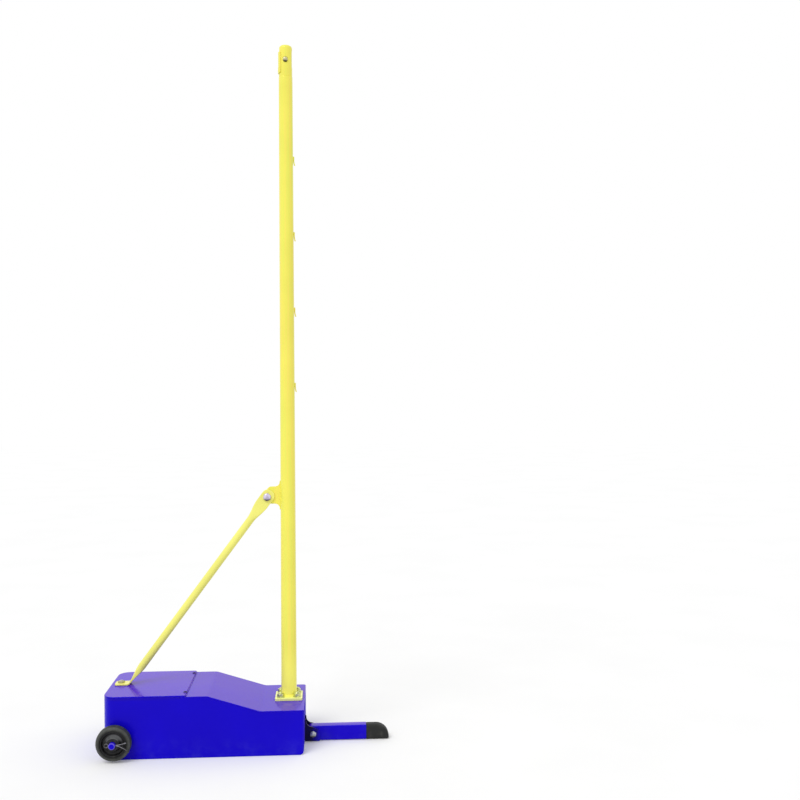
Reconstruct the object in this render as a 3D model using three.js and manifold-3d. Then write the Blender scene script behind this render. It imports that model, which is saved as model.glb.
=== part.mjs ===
// Badminton net post: a steel tube bolted and braced to a weighted box that rolls on two wheels.
// Millimetres. +Z is up, +X points at the court, and the origin lies on the floor under the tube.
import * as THREE from 'three';
import { mergeVertices } from 'three/addons/utils/BufferGeometryUtils.js';
import Module from 'manifold-3d';

const wasm = await Module();
wasm.setup();

// Shared clearances
const seatGap = 0.3;
const runGap = 0.3;
const weldGap = 0.1;
const overrun = 4;

// Post tube, which tapers gently upward, and the flange at its foot
const postHeight = 1550;
const footRadius = 17.3;
const topRadius = 15.3;
const tubeWall = 2;
const flangeSize = 60;
const flangeThickness = 6;
const flangeCorner = 3;
const flangeBoltPitch = 37;

// Weighted box
const boxLength = 426;
const boxWidth = 200;
const boxHeight = 131;
const noseHeight = 96;
const noseLength = 93;
const rampLength = 112;
const postSetback = 35;
const sheet = 3;
const boxCorner = 6;
const rearCorner = 25;
const foldRadius = 9;
const kneeRadius = 26;
const heelChamfer = 22;

// Rear cover, a lid that lies on the walls and laps over the rear margin of the front deck
const seamSetback = 252;
const coverLap = 12;
const coverCorner = 2;
const coverScrewInset = 2.5;
const coverScrewEdge = 24;

// Counterweights
const blockCount = 4;
const blockHeight = 78;
const blockGap = 0.5;
const blockSideGap = 4;
const blockGripLength = 90;
const blockGripWidth = 26;
const blockGripDepth = 30;

// Wheels on one axle, held clear of the floor until the post is tilted back
const wheelRadius = 37;
const wheelLift = 4;
const axleInset = 26.5;
const axleRadius = 7;
const axleTubeWall = 3;
const axleEnd = 7;
const axleChamfer = 1.5;
const hubLength = 24;
const hubRadius = 14;
const hubDraft = 1.5;
const bushWall = 2.2;
const discThickness = 6;
const rimWidth = 20;
const rimWall = 2.6;
const rimDraft = 1.6;
const tyreDepth = 9.5;
const tyreWidth = 22;
const tyreShoulder = 7;
const spacerThickness = 2;
const spacerRadius = 12;

// Split pins: an eye behind the axle and two legs bent apart in front of it
const cotterRadius = 1.7;
const cotterWire = 1.2;
const cotterEye = 3.9;
const cotterLegs = [{ reach: 22, splay: 5 }, { reach: 28, splay: -15 }];

// Head of the post, with the pulley of the net cord
const headRadius = 14.7;
const headLength = 70;
const spigotLength = 22;
const domeRadius = 7;
const pulleyDrop = 34;
const pulleyRadius = 13.5;
const pulleyWidth = 8.4;
const grooveDepth = 3.8;
const grooveLip = 1.2;
const slotWidth = 10;
const slotFloorGap = 1.6;
const cordRoom = 9.6;
const notchStart = 3;
const spotDepth = 1.4;
const spotRim = 1.6;
const guardLength = 46;
const guardDrop = 16;
const guardThickness = 2;
const guardSpread = 84;
const guardSill = 13;

// Hooks for the net's side cord
const hookCount = 4;
const hookDrop = 256;
const hookPitch = 168;
const hookRadius = 1.3;
const hookLength = 21;
const hookSplay = 2.4;

// Lug on the tube and the brace that runs from it to the back of the box
const braceBoltReach = 46;
const braceBoltHeight = 546;
const lugThickness = 5;
const lugAbove = 23;
const lugBelow = 15.5;
const lugReach = 11;
const lugShoulder = 24;
const lugSlope = 17;
const lugCorner = 8;
const lugFlare = 13;
const lugFlareCorner = 11;
const lugFlareEnd = 1.2;
const braceRadius = 8.4;
const braceFlat = 3.6;
const braceFlatWidth = 29;
const braceEnd = 17;
const braceEndCorner = 14;
const braceBend = 9;
const braceBendSetback = 39;
const braceTail = 9;
const braceFootBolt = 12.5;
const braceTaper = 44;

// Stabiliser arm between its two ears, folding up flat to the box
const pivotReach = 18.5;
const pivotHeight = 17;
const armFloorGap = 1;
const armHeight = 32;
const armWidth = 25;
const armWall = 2;
const armEdge = 2.5;
const armTip = 188;
const footLength = 51;
const footPlug = 24;
const footToe = 4;
const footCorner = 6;
const earThickness = 4;
const earSideGap = 0.5;
const earReach = 34;
const earNose = 25;
const earNoseCorner = 9;
const earCrest = 33;
const earHeight = 50;
const earRise = 3;
const earFlare = 13;
const earFloorGap = 1;

// Fasteners: shank radius, width across flats, head, nut and washer heights
const m5 = { radius: 2.5, flats: 8, head: 2.6, nut: 4, washer: 1 };
const m6 = { radius: 3, flats: 10, head: 4, nut: 5, washer: 1.6 };
const m8 = { radius: 4, flats: 13, head: 5.3, nut: 6.5, washer: 1.6 };
const m10 = { radius: 5, flats: 16, head: 6.4, nut: 8, washer: 2 };
const headChamferShare = 0.14;
const boltEnd = 3;

// Fineness of round forms
const arcStep = Math.PI / 12;
const tubeSides = 32;
const wheelSides = 32;
const smallSides = 24;
const boltSides = 16;
const wireSides = 6;
const wireSteps = 6;
const domeSteps = 4;
const braceSides = 16;
const taperSteps = 6;
const bendSteps = 4;
const flatPower = 8;
const roundPower = 2;

// Materials
const paint = (color, roughness) => new THREE.MeshStandardMaterial({ color, roughness, metalness: 0 });
const metal = (color, roughness) => new THREE.MeshStandardMaterial({ color, roughness, metalness: 1 });
const yellowPaint = paint(0xf3e54a, 0.35);
const bluePaint = paint(0x2414c4, 0.25);
const zincSteel = metal(0xb9bcc0, 0.35);
const castIron = metal(0x4a4b4d, 0.7);
const rubber = paint(0x2e2e30, 0.85);
const wheelPlastic = paint(0x4b4c50, 0.6);
const nylon = paint(0xd9d8d0, 0.5);

const object = new THREE.Group();

// Places worked out from the driving dimensions
const sides = [{ name: 'near', y: -1 }, { name: 'far', y: 1 }];
const faceX = postSetback;
const rearX = faceX - boxLength;
const halfWidth = boxWidth / 2;
const innerHalf = halfWidth - sheet;
const seamX = faceX - seamSetback;
const kneeLowX = faceX - noseLength;
const kneeHighX = kneeLowX - rampLength;
const rampAngle = Math.atan2(boxHeight - noseHeight, rampLength);
const deckTop = noseHeight;
const deckUnder = deckTop - sheet;
const coverUnder = boxHeight;
const coverTop = coverUnder + sheet;
const deckEnd = seamX - coverLap;
const flangeTop = deckTop + flangeThickness;
const headFoot = postHeight - headLength;
const pulleyZ = postHeight - pulleyDrop;
const axleAt = [rearX + axleInset, 0, wheelRadius + wheelLift];
const braceY = -(lugThickness / 2 + seatGap + braceFlat / 2);
const braceFootAt = [rearX + braceTail + braceFootBolt, 0, 0];
const coverScrewAt = ({ y }) => [seamX - coverScrewInset, y * (halfWidth - coverScrewEdge), 0];
const flangeBoltPlaces = [[-1, -1], [1, -1], [1, 1], [-1, 1]]
  .map(([x, y]) => [x * flangeBoltPitch / 2, y * flangeBoltPitch / 2, 0]);
const holeOf = (size) => size.radius + seatGap;
const tubeRadiusAt = (z) => THREE.MathUtils.mapLinear(z, flangeTop, headFoot, footRadius, topRadius);

// A closed geometry becomes a solid: shared vertices are merged and the faces are turned outward.
function solid(geometry) {
  geometry.deleteAttribute('normal');
  geometry.deleteAttribute('uv');
  const merged = mergeVertices(geometry);
  const places = merged.attributes.position;
  const index = merged.index.array;
  const corners = [new THREE.Vector3(), new THREE.Vector3(), new THREE.Vector3()];
  const triangles = [];
  let volume = 0;
  for (let i = 0; i < index.length; i += 3) {
    const [a, b, c] = index.slice(i, i + 3);
    if (a === b || b === c || c === a) continue;
    [a, b, c].forEach((k, n) => corners[n].fromBufferAttribute(places, k));
    volume += corners[0].dot(corners[1].clone().cross(corners[2]));
    triangles.push([a, b, c]);
  }
  const facing = volume > 0 ? triangles : triangles.map(([a, b, c]) => [a, c, b]);
  return new wasm.Manifold(new wasm.Mesh({
    numProp: 3,
    vertProperties: Float32Array.from(places.array),
    triVerts: Uint32Array.from(facing.flat()),
  }));
}

function geometryOf(shape) {
  const mesh = shape.getMesh();
  const geometry = new THREE.BufferGeometry();
  geometry.setAttribute('position', new THREE.BufferAttribute(mesh.vertProperties, 3));
  geometry.setIndex(new THREE.BufferAttribute(mesh.triVerts, 1));
  geometry.computeVertexNormals();
  return geometry;
}

function piece(name, shape, material) {
  const mesh = new THREE.Mesh(geometryOf(shape), material);
  mesh.name = name;
  object.add(mesh);
}

// An outline from corners [x, y, radius], where a corner with a radius becomes an arc
function outline(corners) {
  return new THREE.Shape(corners.flatMap(([x, y, radius = 0], i) => {
    const here = new THREE.Vector2(x, y);
    if (radius === 0) return [here];
    const [beforeX, beforeY] = corners.at(i - 1);
    const [afterX, afterY] = corners[(i + 1) % corners.length];
    const back = new THREE.Vector2(beforeX, beforeY).sub(here).normalize();
    const on = new THREE.Vector2(afterX, afterY).sub(here).normalize();
    const halfAngle = Math.acos(back.dot(on)) / 2;
    const toCentre = back.clone().add(on).normalize().multiplyScalar(radius / Math.sin(halfAngle));
    const centre = here.clone().add(toCentre);
    const first = here.clone().addScaledVector(back, radius / Math.tan(halfAngle));
    const turn = Math.sign(on.cross(back)) * (Math.PI - 2 * halfAngle);
    const steps = Math.ceil(Math.abs(turn) / arcStep);
    return Array.from({ length: steps + 1 }, (_, k) =>
      first.clone().rotateAround(centre, (turn * k) / steps));
  }));
}

function rectangle(x0, x1, y0, y1, radius) {
  return outline([[x0, y0, radius], [x1, y0, radius], [x1, y1, radius], [x0, y1, radius]]);
}

// Where an outline's own axes and its depth point in the model
const planes = {
  xy: [[1, 0, 0], [0, 1, 0], [0, 0, 1]],
  xz: [[1, 0, 0], [0, 0, 1], [0, -1, 0]],
  yz: [[0, 1, 0], [0, 0, 1], [1, 0, 0]],
};

// An outline drawn in a plane and extruded between two places along the third axis
function prism(plane, shape, low, high) {
  const [across, up, deep] = planes[plane].map((axis) => new THREE.Vector3(...axis));
  const geometry = new THREE.ExtrudeGeometry(shape, { depth: high - low, bevelEnabled: false });
  geometry.translate(0, 0, plane === 'xz' ? -high : low);
  geometry.applyMatrix4(new THREE.Matrix4().makeBasis(across, up, deep));
  return solid(geometry);
}

// A profile of [radius, place along the axis] turned about an axis through a point
function turned(axis, profile, at = [0, 0, 0], count = tubeSides) {
  const points = profile.map(([radius, along]) => new THREE.Vector2(radius, along));
  const geometry = new THREE.LatheGeometry(points, count);
  if (axis === 'z') geometry.rotateX(Math.PI / 2);
  if (axis === 'x') geometry.rotateZ(-Math.PI / 2);
  return solid(geometry.translate(...at));
}

function rod(axis, radius, from, to, at = [0, 0, 0], count = boltSides) {
  return turned(axis, [[0, from], [radius, from], [radius, to], [0, to]], at, count);
}

function ring(axis, inner, outer, from, to, at = [0, 0, 0], count = tubeSides) {
  const profile = [[inner, from], [outer, from], [outer, to], [inner, to], [inner, from]];
  return turned(axis, profile, at, count);
}

function block([x0, x1], [y0, y1], [z0, z1]) {
  const geometry = new THREE.BoxGeometry(x1 - x0, y1 - y0, z1 - z0);
  return solid(geometry.translate((x0 + x1) / 2, (y0 + y1) / 2, (z0 + z1) / 2));
}

// A wire of round section along a curve
function wire(radius, path) {
  const section = new THREE.Shape(new THREE.EllipseCurve(0, 0, radius, radius)
    .getPoints(wireSides).slice(0, wireSides));
  return new THREE.ExtrudeGeometry(section, { steps: wireSteps, extrudePath: path });
}

// A six-sided head with its outer corners turned off, standing on its seat
function hexagon(axis, size, height, seat, direction, at) {
  const corner = size.flats / 2 / Math.cos(Math.PI / 6);
  const chamfer = headChamferShare * corner;
  const top = seat + direction * height;
  const blank = turned(axis, [
    [0, seat - direction * overrun], [corner, seat - direction * overrun],
    [corner, top - direction * chamfer], [corner - chamfer, top], [0, top],
  ], at, boltSides);
  return rod(axis, corner, seat, top, at, 6).intersect(blank);
}

// A hexagon bolt: its head stands on the seat and the shank runs back by the grip
function bolt(axis, size, seat, direction, grip, at) {
  const shank = rod(axis, size.radius, seat + direction * size.head / 2, seat - direction * grip, at);
  return hexagon(axis, size, size.head, seat, direction, at).add(shank);
}

function nut(axis, size, seat, direction, at) {
  const bore = rod(axis, holeOf(size), seat - direction * overrun,
    seat + direction * (size.nut + overrun), at);
  return hexagon(axis, size, size.nut, seat, direction, at).subtract(bore);
}

function washer(axis, size, seat, direction, at) {
  return ring(axis, holeOf(size), size.flats / 2 + size.washer, seat,
    seat + direction * size.washer, at, boltSides);
}

// The deck line from front to rear, a given depth under the box's upper surface
function deckLine(depth, front, rear) {
  const shift = depth * Math.tan(rampAngle / 2);
  return [
    [front, noseHeight - depth],
    [kneeLowX - shift, noseHeight - depth, kneeRadius + depth],
    [kneeHighX - shift, boxHeight - depth, kneeRadius - depth],
    [rear, boxHeight - depth],
  ];
}

// The box's plan, or the same line moved inward, as a column higher than the box
function column(inset) {
  const [rear, front, half] = [rearX + inset, faceX - inset, halfWidth - inset];
  return prism('xy', outline([
    [rear, -half, rearCorner - inset], [front, -half, boxCorner - inset],
    [front, half, boxCorner - inset], [rear, half, rearCorner - inset],
  ]), -overrun, coverTop + overrun);
}

// Box shell: floor and four walls folded from sheet, cut away under the rear edge for tilting.
// The walls carry the deck in front and rise beside it to carry the cover behind.
function boxShell() {
  const step = deckEnd - seatGap;
  const outside = prism('xz', outline([
    ...deckLine(sheet, faceX, step), [step, coverUnder], [rearX, coverUnder],
    [rearX, heelChamfer], [rearX + heelChamfer, 0], [faceX, 0, foldRadius],
  ]), -halfWidth - overrun, halfWidth + overrun);
  const fold = sheet * Math.tan(Math.PI / 8);
  const room = prism('xz', outline([
    [faceX - sheet, boxHeight + overrun], [rearX + sheet, boxHeight + overrun],
    [rearX + sheet, heelChamfer + fold], [rearX + heelChamfer + fold, sheet],
    [faceX - sheet, sheet, foldRadius - sheet],
  ]), -innerHalf, innerHalf);
  return column(0).intersect(outside).subtract(room.intersect(column(sheet)))
    .subtract(rod('y', axleRadius + seatGap, -boxWidth, boxWidth, axleAt, tubeSides));
}

// Front deck: nose, ramp and the first stretch of the high level, folded from one sheet
function frontDeck() {
  const front = faceX + overrun;
  const strip = outline([...deckLine(0, front, deckEnd), ...deckLine(sheet, front, deckEnd).reverse()]);
  let deck = column(0).intersect(prism('xz', strip, -halfWidth - overrun, halfWidth + overrun));
  for (const at of flangeBoltPlaces) {
    deck = deck.subtract(rod('z', holeOf(m8), 0, boxHeight, at));
  }
  for (const side of sides) {
    deck = deck.subtract(rod('z', holeOf(m5), 0, boxHeight + overrun, coverScrewAt(side)));
  }
  return deck;
}

// Rear cover: a flat lid, notched at its front edge for the two screws that clamp it
function rearCover() {
  const rear = rearX - overrun;
  const plate = prism('xy', outline([
    [rear, -halfWidth], [seamX, -halfWidth, coverCorner], [seamX, halfWidth, coverCorner],
    [rear, halfWidth],
  ]), coverUnder, coverTop);
  let cover = column(0).intersect(plate);
  for (const side of sides) {
    const at = coverScrewAt(side);
    const hole = rod('z', holeOf(m5), coverUnder - overrun, coverTop + overrun, at);
    const mouth = block([at[0], seamX + overrun], [at[1] - holeOf(m5), at[1] + holeOf(m5)],
      [coverUnder - overrun, coverTop + overrun]);
    cover = cover.subtract(hole).subtract(mouth);
  }
  return cover.subtract(rod('z', holeOf(m8), 0, coverTop + overrun, braceFootAt));
}

function coverScrew(at) {
  const { radius, flats, head } = m5;
  return turned('z', [
    [0, coverTop - 3 * sheet], [radius, coverTop - 3 * sheet], [radius, coverTop],
    [flats / 2, coverTop], [flats / 2, coverTop + head / 2], [flats / 4, coverTop + head],
    [0, coverTop + head],
  ], at, boltSides);
}

piece('base_shell', boxShell(), bluePaint);
piece('front_deck', frontDeck(), bluePaint);
piece('rear_cover', rearCover(), bluePaint);
for (const side of sides) {
  piece(`cover_screw_${side.name}`, coverScrew(coverScrewAt(side)), zincSteel);
}

// Counterweights: cast blocks side by side on the floor of the box, each with a lifting pocket
const blockFront = faceX - foldRadius - blockGap;
const blockRear = axleAt[0] + axleRadius + seatGap + axleTubeWall + blockGap;
const blockPitch = (blockFront - blockRear) / blockCount;
for (let i = 0; i < blockCount; i += 1) {
  const front = blockFront - i * blockPitch;
  const rear = front - blockPitch + blockGap;
  const blockHalf = innerHalf - blockSideGap;
  const middle = (front + rear) / 2;
  const grip = rectangle(middle - blockGripWidth / 2, middle + blockGripWidth / 2,
    -blockGripLength / 2, blockGripLength / 2, blockGripWidth / 3);
  const top = sheet + blockHeight;
  const cast = block([rear, front], [-blockHalf, blockHalf], [sheet, top])
    .subtract(prism('xy', grip, top - blockGripDepth, top + overrun));
  piece(`counterweight_${i + 1}`, cast, castIron);
}

// Axle through a tube across the box, long enough for the wheels, their washers and split pins
const hubInner = halfWidth + spacerThickness + runGap;
const hubOuter = hubInner + hubLength;
const outerWasher = hubOuter + runGap;
const cotterY = outerWasher + spacerThickness + seatGap + cotterRadius;
const axleHalf = cotterY + axleEnd;
const cotterAt = ({ y }) => [axleAt[0], y * cotterY, axleAt[2]];
const axleBlank = turned('y', [
  [0, -axleHalf], [axleRadius - axleChamfer, -axleHalf], [axleRadius, axleChamfer - axleHalf],
  [axleRadius, axleHalf - axleChamfer], [axleRadius - axleChamfer, axleHalf], [0, axleHalf],
], axleAt);
const axle = sides.reduce((bar, side) => bar.subtract(rod('x', cotterRadius + seatGap,
  -axleRadius - overrun, axleRadius + overrun, cotterAt(side))), axleBlank);
piece('axle', axle, bluePaint);
const axleTube = ring('y', axleRadius + seatGap, axleRadius + seatGap + axleTubeWall,
  -innerHalf, innerHalf, axleAt).intersect(column(sheet + weldGap));
piece('axle_tube', axleTube, bluePaint);

// A wheel: moulded rim with a dished disc and a long hub, a plain bush and a rubber tyre
const bushInner = axleRadius + runGap;
const bushOuter = bushInner + bushWall;
const rimRadius = wheelRadius - tyreDepth;

function wheelRim(at) {
  const inner = bushOuter + seatGap;
  const barrel = rimRadius - seatGap;
  const well = barrel - rimWall;
  const outerHalf = [
    [inner, hubLength / 2], [hubRadius, hubLength / 2], [hubRadius + hubDraft, discThickness / 2],
    [well - rimDraft, discThickness / 2], [well, rimWidth / 2], [barrel, rimWidth / 2],
  ];
  const innerSide = outerHalf.map(([radius, along]) => [radius, -along]).reverse();
  return turned('y', [...outerHalf, ...innerSide, outerHalf[0]], at, wheelSides);
}

function tyre(at) {
  const crown = tyreWidth / 2 - tyreShoulder;
  const shoulder = [2, 1, 0].map((k) => [
    wheelRadius - tyreShoulder + tyreShoulder * Math.cos((k * Math.PI) / 4),
    crown + tyreShoulder * Math.sin((k * Math.PI) / 4),
  ]);
  const outerHalf = [[rimRadius, tyreWidth / 2], ...shoulder];
  const innerSide = outerHalf.map(([radius, along]) => [radius, -along]).reverse();
  return turned('y', [...outerHalf, ...innerSide, outerHalf[0]], at, wheelSides);
}

function splitPin(at) {
  const eyeX = -(axleRadius + seatGap + cotterEye + cotterWire);
  const eye = solid(new THREE.TorusGeometry(cotterEye, cotterWire, wireSides, boltSides)
    .rotateX(Math.PI / 2).translate(at[0] + eyeX, at[1], at[2]));
  const shank = rod('x', cotterRadius, eyeX + cotterEye, axleRadius + cotterRadius, at,
    2 * wireSides);
  const legs = cotterLegs.map(({ reach, splay }) => {
    const start = Math.sign(splay) * (cotterRadius - cotterWire);
    const path = new THREE.QuadraticBezierCurve3(
      new THREE.Vector3(axleRadius, 0, start),
      new THREE.Vector3(axleRadius + reach / 3, 0, 0),
      new THREE.Vector3(axleRadius + reach, 0, splay),
    );
    return solid(wire(cotterWire, path).translate(...at));
  });
  return legs.reduce((pin, leg) => pin.add(leg), eye.add(shank));
}

for (const side of sides) {
  const hubAt = [axleAt[0], side.y * (hubInner + hubLength / 2), axleAt[2]];
  const thrust = (from) => ring('y', bushInner, spacerRadius, side.y * from,
    side.y * (from + spacerThickness), axleAt, smallSides);
  piece(`wheel_rim_${side.name}`, wheelRim(hubAt), wheelPlastic);
  piece(`tyre_${side.name}`, tyre(hubAt), rubber);
  piece(`wheel_bush_${side.name}`,
    ring('y', bushInner, bushOuter, -hubLength / 2, hubLength / 2, hubAt, smallSides), nylon);
  piece(`wheel_spacer_${side.name}`, thrust(halfWidth), zincSteel);
  piece(`wheel_washer_${side.name}`, thrust(outerWasher), zincSteel);
  piece(`split_pin_${side.name}`, splitPin(cotterAt(side)), zincSteel);
}

// Foot of the post: a square flange on four bolts, and the tube welded upright on it
const flangeHalf = flangeSize / 2;
const flangeBlank = prism('xy', rectangle(-flangeHalf, flangeHalf, -flangeHalf, flangeHalf,
  flangeCorner), deckTop, flangeTop);
const flange = flangeBoltPlaces.reduce((plate, at) =>
  plate.subtract(rod('z', holeOf(m8), 0, boxHeight, at)), flangeBlank);
piece('post_flange', flange, yellowPaint);
flangeBoltPlaces.forEach((at, i) => {
  const grip = sheet + flangeThickness + m8.washer + m8.nut + boltEnd;
  piece(`flange_bolt_${i + 1}`, bolt('z', m8, deckUnder, -1, grip, at), zincSteel);
  piece(`flange_washer_${i + 1}`, washer('z', m8, flangeTop, 1, at), zincSteel);
  piece(`flange_nut_${i + 1}`, nut('z', m8, flangeTop + m8.washer, 1, at), zincSteel);
});
piece('post_tube', turned('z', [
  [footRadius - tubeWall, flangeTop], [footRadius, flangeTop], [topRadius, headFoot],
  [topRadius - tubeWall, headFoot], [footRadius - tubeWall, flangeTop],
]), yellowPaint);

// Head: a domed plug on the tube, slotted for the pulley and open at the top of its outer side
const slotFloor = pulleyZ - pulleyRadius - slotFloorGap;
const slotRoof = pulleyZ + pulleyRadius + cordRoom;
const slotSpan = [-slotWidth / 2, slotWidth / 2];
const boltSeatY = headRadius - spotDepth;
const pulleyAt = [0, 0, pulleyZ];

function postHead() {
  const dome = Array.from({ length: domeSteps + 1 }, (_, k) => {
    const angle = (k * Math.PI) / 2 / domeSteps;
    return [
      headRadius - domeRadius + domeRadius * Math.cos(angle),
      postHeight - domeRadius + domeRadius * Math.sin(angle),
    ];
  });
  const spigot = topRadius - tubeWall - seatGap;
  const body = turned('z', [
    [0, headFoot - spigotLength], [spigot, headFoot - spigotLength], [spigot, headFoot],
    [headRadius, headFoot], ...dome, [0, postHeight],
  ]);
  const wide = headRadius + overrun;
  const slot = block([-wide, wide], slotSpan, [slotFloor, slotRoof]);
  const notch = block([-wide, -notchStart], slotSpan, [pulleyZ, postHeight + overrun]);
  const boltHole = rod('y', holeOf(m6), -wide, wide, pulleyAt);
  const spots = sides.map(({ y }) =>
    rod('y', m6.flats / 2 + spotRim, y * boltSeatY, y * wide, pulleyAt, smallSides));
  return [slot, notch, boltHole, ...spots].reduce((head, cut) => head.subtract(cut), body);
}

function netPulley() {
  const bore = m6.radius + runGap;
  const rimHalf = pulleyWidth / 2;
  const floor = pulleyRadius - grooveDepth;
  return turned('y', [
    [bore, rimHalf], [pulleyRadius, rimHalf], [pulleyRadius, rimHalf - grooveLip],
    [floor, grooveLip], [floor, -grooveLip], [pulleyRadius, grooveLip - rimHalf],
    [pulleyRadius, -rimHalf], [bore, -rimHalf], [bore, rimHalf],
  ], pulleyAt, smallSides);
}

// Guard: a curved plate welded over the outer side of the slot, forked around the cord
function pulleyGuard() {
  const inner = headRadius + seatGap;
  const outer = inner + guardThickness;
  const spread = THREE.MathUtils.degToRad(guardSpread);
  const steps = Math.ceil(spread / arcStep);
  const arc = (radius) => Array.from({ length: steps + 1 }, (_, k) => {
    const angle = Math.PI - spread / 2 + (spread * k) / steps;
    return new THREE.Vector2(radius * Math.cos(angle), radius * Math.sin(angle));
  });
  const top = postHeight - guardDrop;
  const foot = top - guardLength;
  const section = new THREE.Shape([...arc(outer), ...arc(inner).reverse()]);
  const cordWay = block([-outer - overrun, 0], slotSpan, [foot + guardSill, top + overrun]);
  return prism('xy', section, foot, top).subtract(cordWay);
}

piece('post_head', postHead(), yellowPaint);
piece('net_pulley', netPulley(), nylon);
piece('pulley_guard', pulleyGuard(), yellowPaint);
piece('pulley_bolt', bolt('y', m6, -boltSeatY, -1, 2 * boltSeatY + m6.nut + boltEnd, pulleyAt),
  zincSteel);
piece('pulley_nut', nut('y', m6, boltSeatY, 1, pulleyAt), zincSteel);

// Net hooks: short spurs of rod welded to the court side, splayed out at their lower ends
for (let i = 0; i < hookCount; i += 1) {
  const z = postHeight - hookDrop - (hookCount - 1 - i) * hookPitch;
  const x = tubeRadiusAt(z) + weldGap + hookRadius;
  const path = new THREE.CatmullRomCurve3([
    new THREE.Vector3(x, 0, z + hookLength / 2),
    new THREE.Vector3(x, 0, z),
    new THREE.Vector3(x + hookSplay, 0, z - hookLength / 2),
  ]);
  piece(`net_hook_${i + 1}`, solid(wire(hookRadius, path)), yellowPaint);
}

// Brace lug: an upright plate on the back of the tube, sloped off where the brace covers it and
// running out along the tube above and below
const braceAt = [-braceBoltReach, 0, braceBoltHeight];

function braceLug() {
  const top = braceBoltHeight + lugAbove;
  const low = braceBoltHeight - lugBelow;
  const root = -tubeRadiusAt(low - lugFlare) - weldGap;
  const ledge = root - lugFlareEnd;
  const tip = -braceBoltReach - lugReach;
  const shape = outline([
    [root, low - lugFlare], [root, top + lugFlare], [ledge, top + lugFlare],
    [ledge, top, lugFlareCorner], [root - lugShoulder, top, lugCorner],
    [tip, top - lugSlope, lugCorner], [tip, low, lugCorner], [ledge, low, lugFlareCorner],
    [ledge, low - lugFlare],
  ]);
  return prism('xz', shape, -lugThickness / 2, lugThickness / 2)
    .subtract(rod('y', holeOf(m10), -footRadius, footRadius, braceAt));
}

// Rings of points joined into one closed skin with flat ends
function loft(rings) {
  const count = rings[0].length;
  const faces = [];
  for (let r = 0; r + 1 < rings.length; r += 1) {
    for (let k = 0; k < count; k += 1) {
      const [a, b] = [r * count + k, r * count + ((k + 1) % count)];
      faces.push(a, b, b + count, a, b + count, a + count);
    }
  }
  const last = (rings.length - 1) * count;
  for (let k = 1; k + 1 < count; k += 1) {
    faces.push(0, k + 1, k, last, last + k, last + k + 1);
  }
  const geometry = new THREE.BufferGeometry().setFromPoints(rings.flat());
  geometry.setIndex(faces);
  return solid(geometry);
}

// Brace strut: one tube, pressed flat and bent along the cover at its foot, pressed flat again
// a quarter turn round at its top. It leans from the middle of the cover to the lug's side.
function braceStrut() {
  const footZ = coverTop + braceFlat / 2;
  const tail = new THREE.Vector2(rearX + braceTail, footZ);
  const knee = new THREE.Vector2(rearX + braceBendSetback, footZ);
  const eye = new THREE.Vector2(-braceBoltReach, braceBoltHeight);
  const toEye = eye.clone().sub(knee).normalize();
  const rise = toEye.angle();
  const bendStart = knee.x - braceBend * Math.tan(rise / 2);
  const bendCentre = new THREE.Vector2(bendStart, footZ + braceBend);
  const stations = [{ at: tail, turn: 0 }, { at: new THREE.Vector2(bendStart, footZ), turn: 0 }];
  for (let k = 1; k <= bendSteps; k += 1) {
    const turn = (rise * k) / bendSteps;
    const down = new THREE.Vector2(0, -braceBend).rotateAround(new THREE.Vector2(), turn);
    stations.push({ at: bendCentre.clone().add(down), turn });
  }
  const start = stations.at(-1).at;
  const run = eye.distanceTo(start) + braceEnd;
  const topFlat = Math.hypot(lugReach, lugBelow);
  const topTaper = run - braceEnd - topFlat - braceTaper;
  const stops = Array.from({ length: taperSteps }, (_, k) => (braceTaper * (k + 1)) / taperSteps);
  for (const s of [...stops, topTaper, ...stops.map((stop) => topTaper + stop), run]) {
    stations.push({ at: start.clone().addScaledVector(toEye, s), turn: rise, s });
  }
  const { lerp, smoothstep } = THREE.MathUtils;
  const rings = stations.map(({ at, turn, s = 0 }) => {
    const open = smoothstep(s, 0, braceTaper);
    const shut = smoothstep(s, topTaper, topTaper + braceTaper);
    const thick = lerp(lerp(braceFlat / 2, braceRadius, open), braceFlatWidth / 2, shut);
    const across = lerp(lerp(braceFlatWidth / 2, braceRadius, open), braceFlat / 2, shut);
    const squareness = lerp(lerp(flatPower, roundPower, open), flatPower, shut);
    const power = (value) => Math.sign(value) * Math.abs(value) ** (2 / squareness);
    const middle = lerp(0, braceY, Math.min(s / topTaper, 1));
    const up = new THREE.Vector2(0, 1).rotateAround(new THREE.Vector2(), turn);
    return Array.from({ length: braceSides }, (_, k) => {
      const angle = (2 * Math.PI * k) / braceSides;
      const n = thick * power(Math.sin(angle));
      return new THREE.Vector3(at.x + n * up.x, middle + across * power(Math.cos(angle)),
        at.y + n * up.y);
    });
  });
  const normal = new THREE.Vector2(-toEye.y, toEye.x);
  const deep = 2 * braceFlatWidth;
  const wide = braceFlatWidth / 2;
  const onBrace = ([s, n, ...radius]) => {
    const point = eye.clone().addScaledVector(toEye, s).addScaledVector(normal, n);
    return [point.x, point.y, ...radius];
  };
  const square = outline([[-wide, -deep], [deep, -deep], [deep, deep], [-wide, deep]].map(onBrace));
  const rounded = outline([
    [-deep, -wide], [braceEnd, -wide, braceEndCorner], [braceEnd, wide, braceEndCorner],
    [-deep, wide],
  ].map(onBrace));
  const beyond = prism('xz', square, -deep, deep)
    .subtract(prism('xz', rounded, -2 * deep, 2 * deep));
  return loft(rings).subtract(beyond)
    .subtract(rod('y', holeOf(m10), -deep, deep, braceAt))
    .subtract(rod('z', holeOf(m8), coverUnder, coverTop + braceFlat + overrun, braceFootAt));
}

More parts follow.
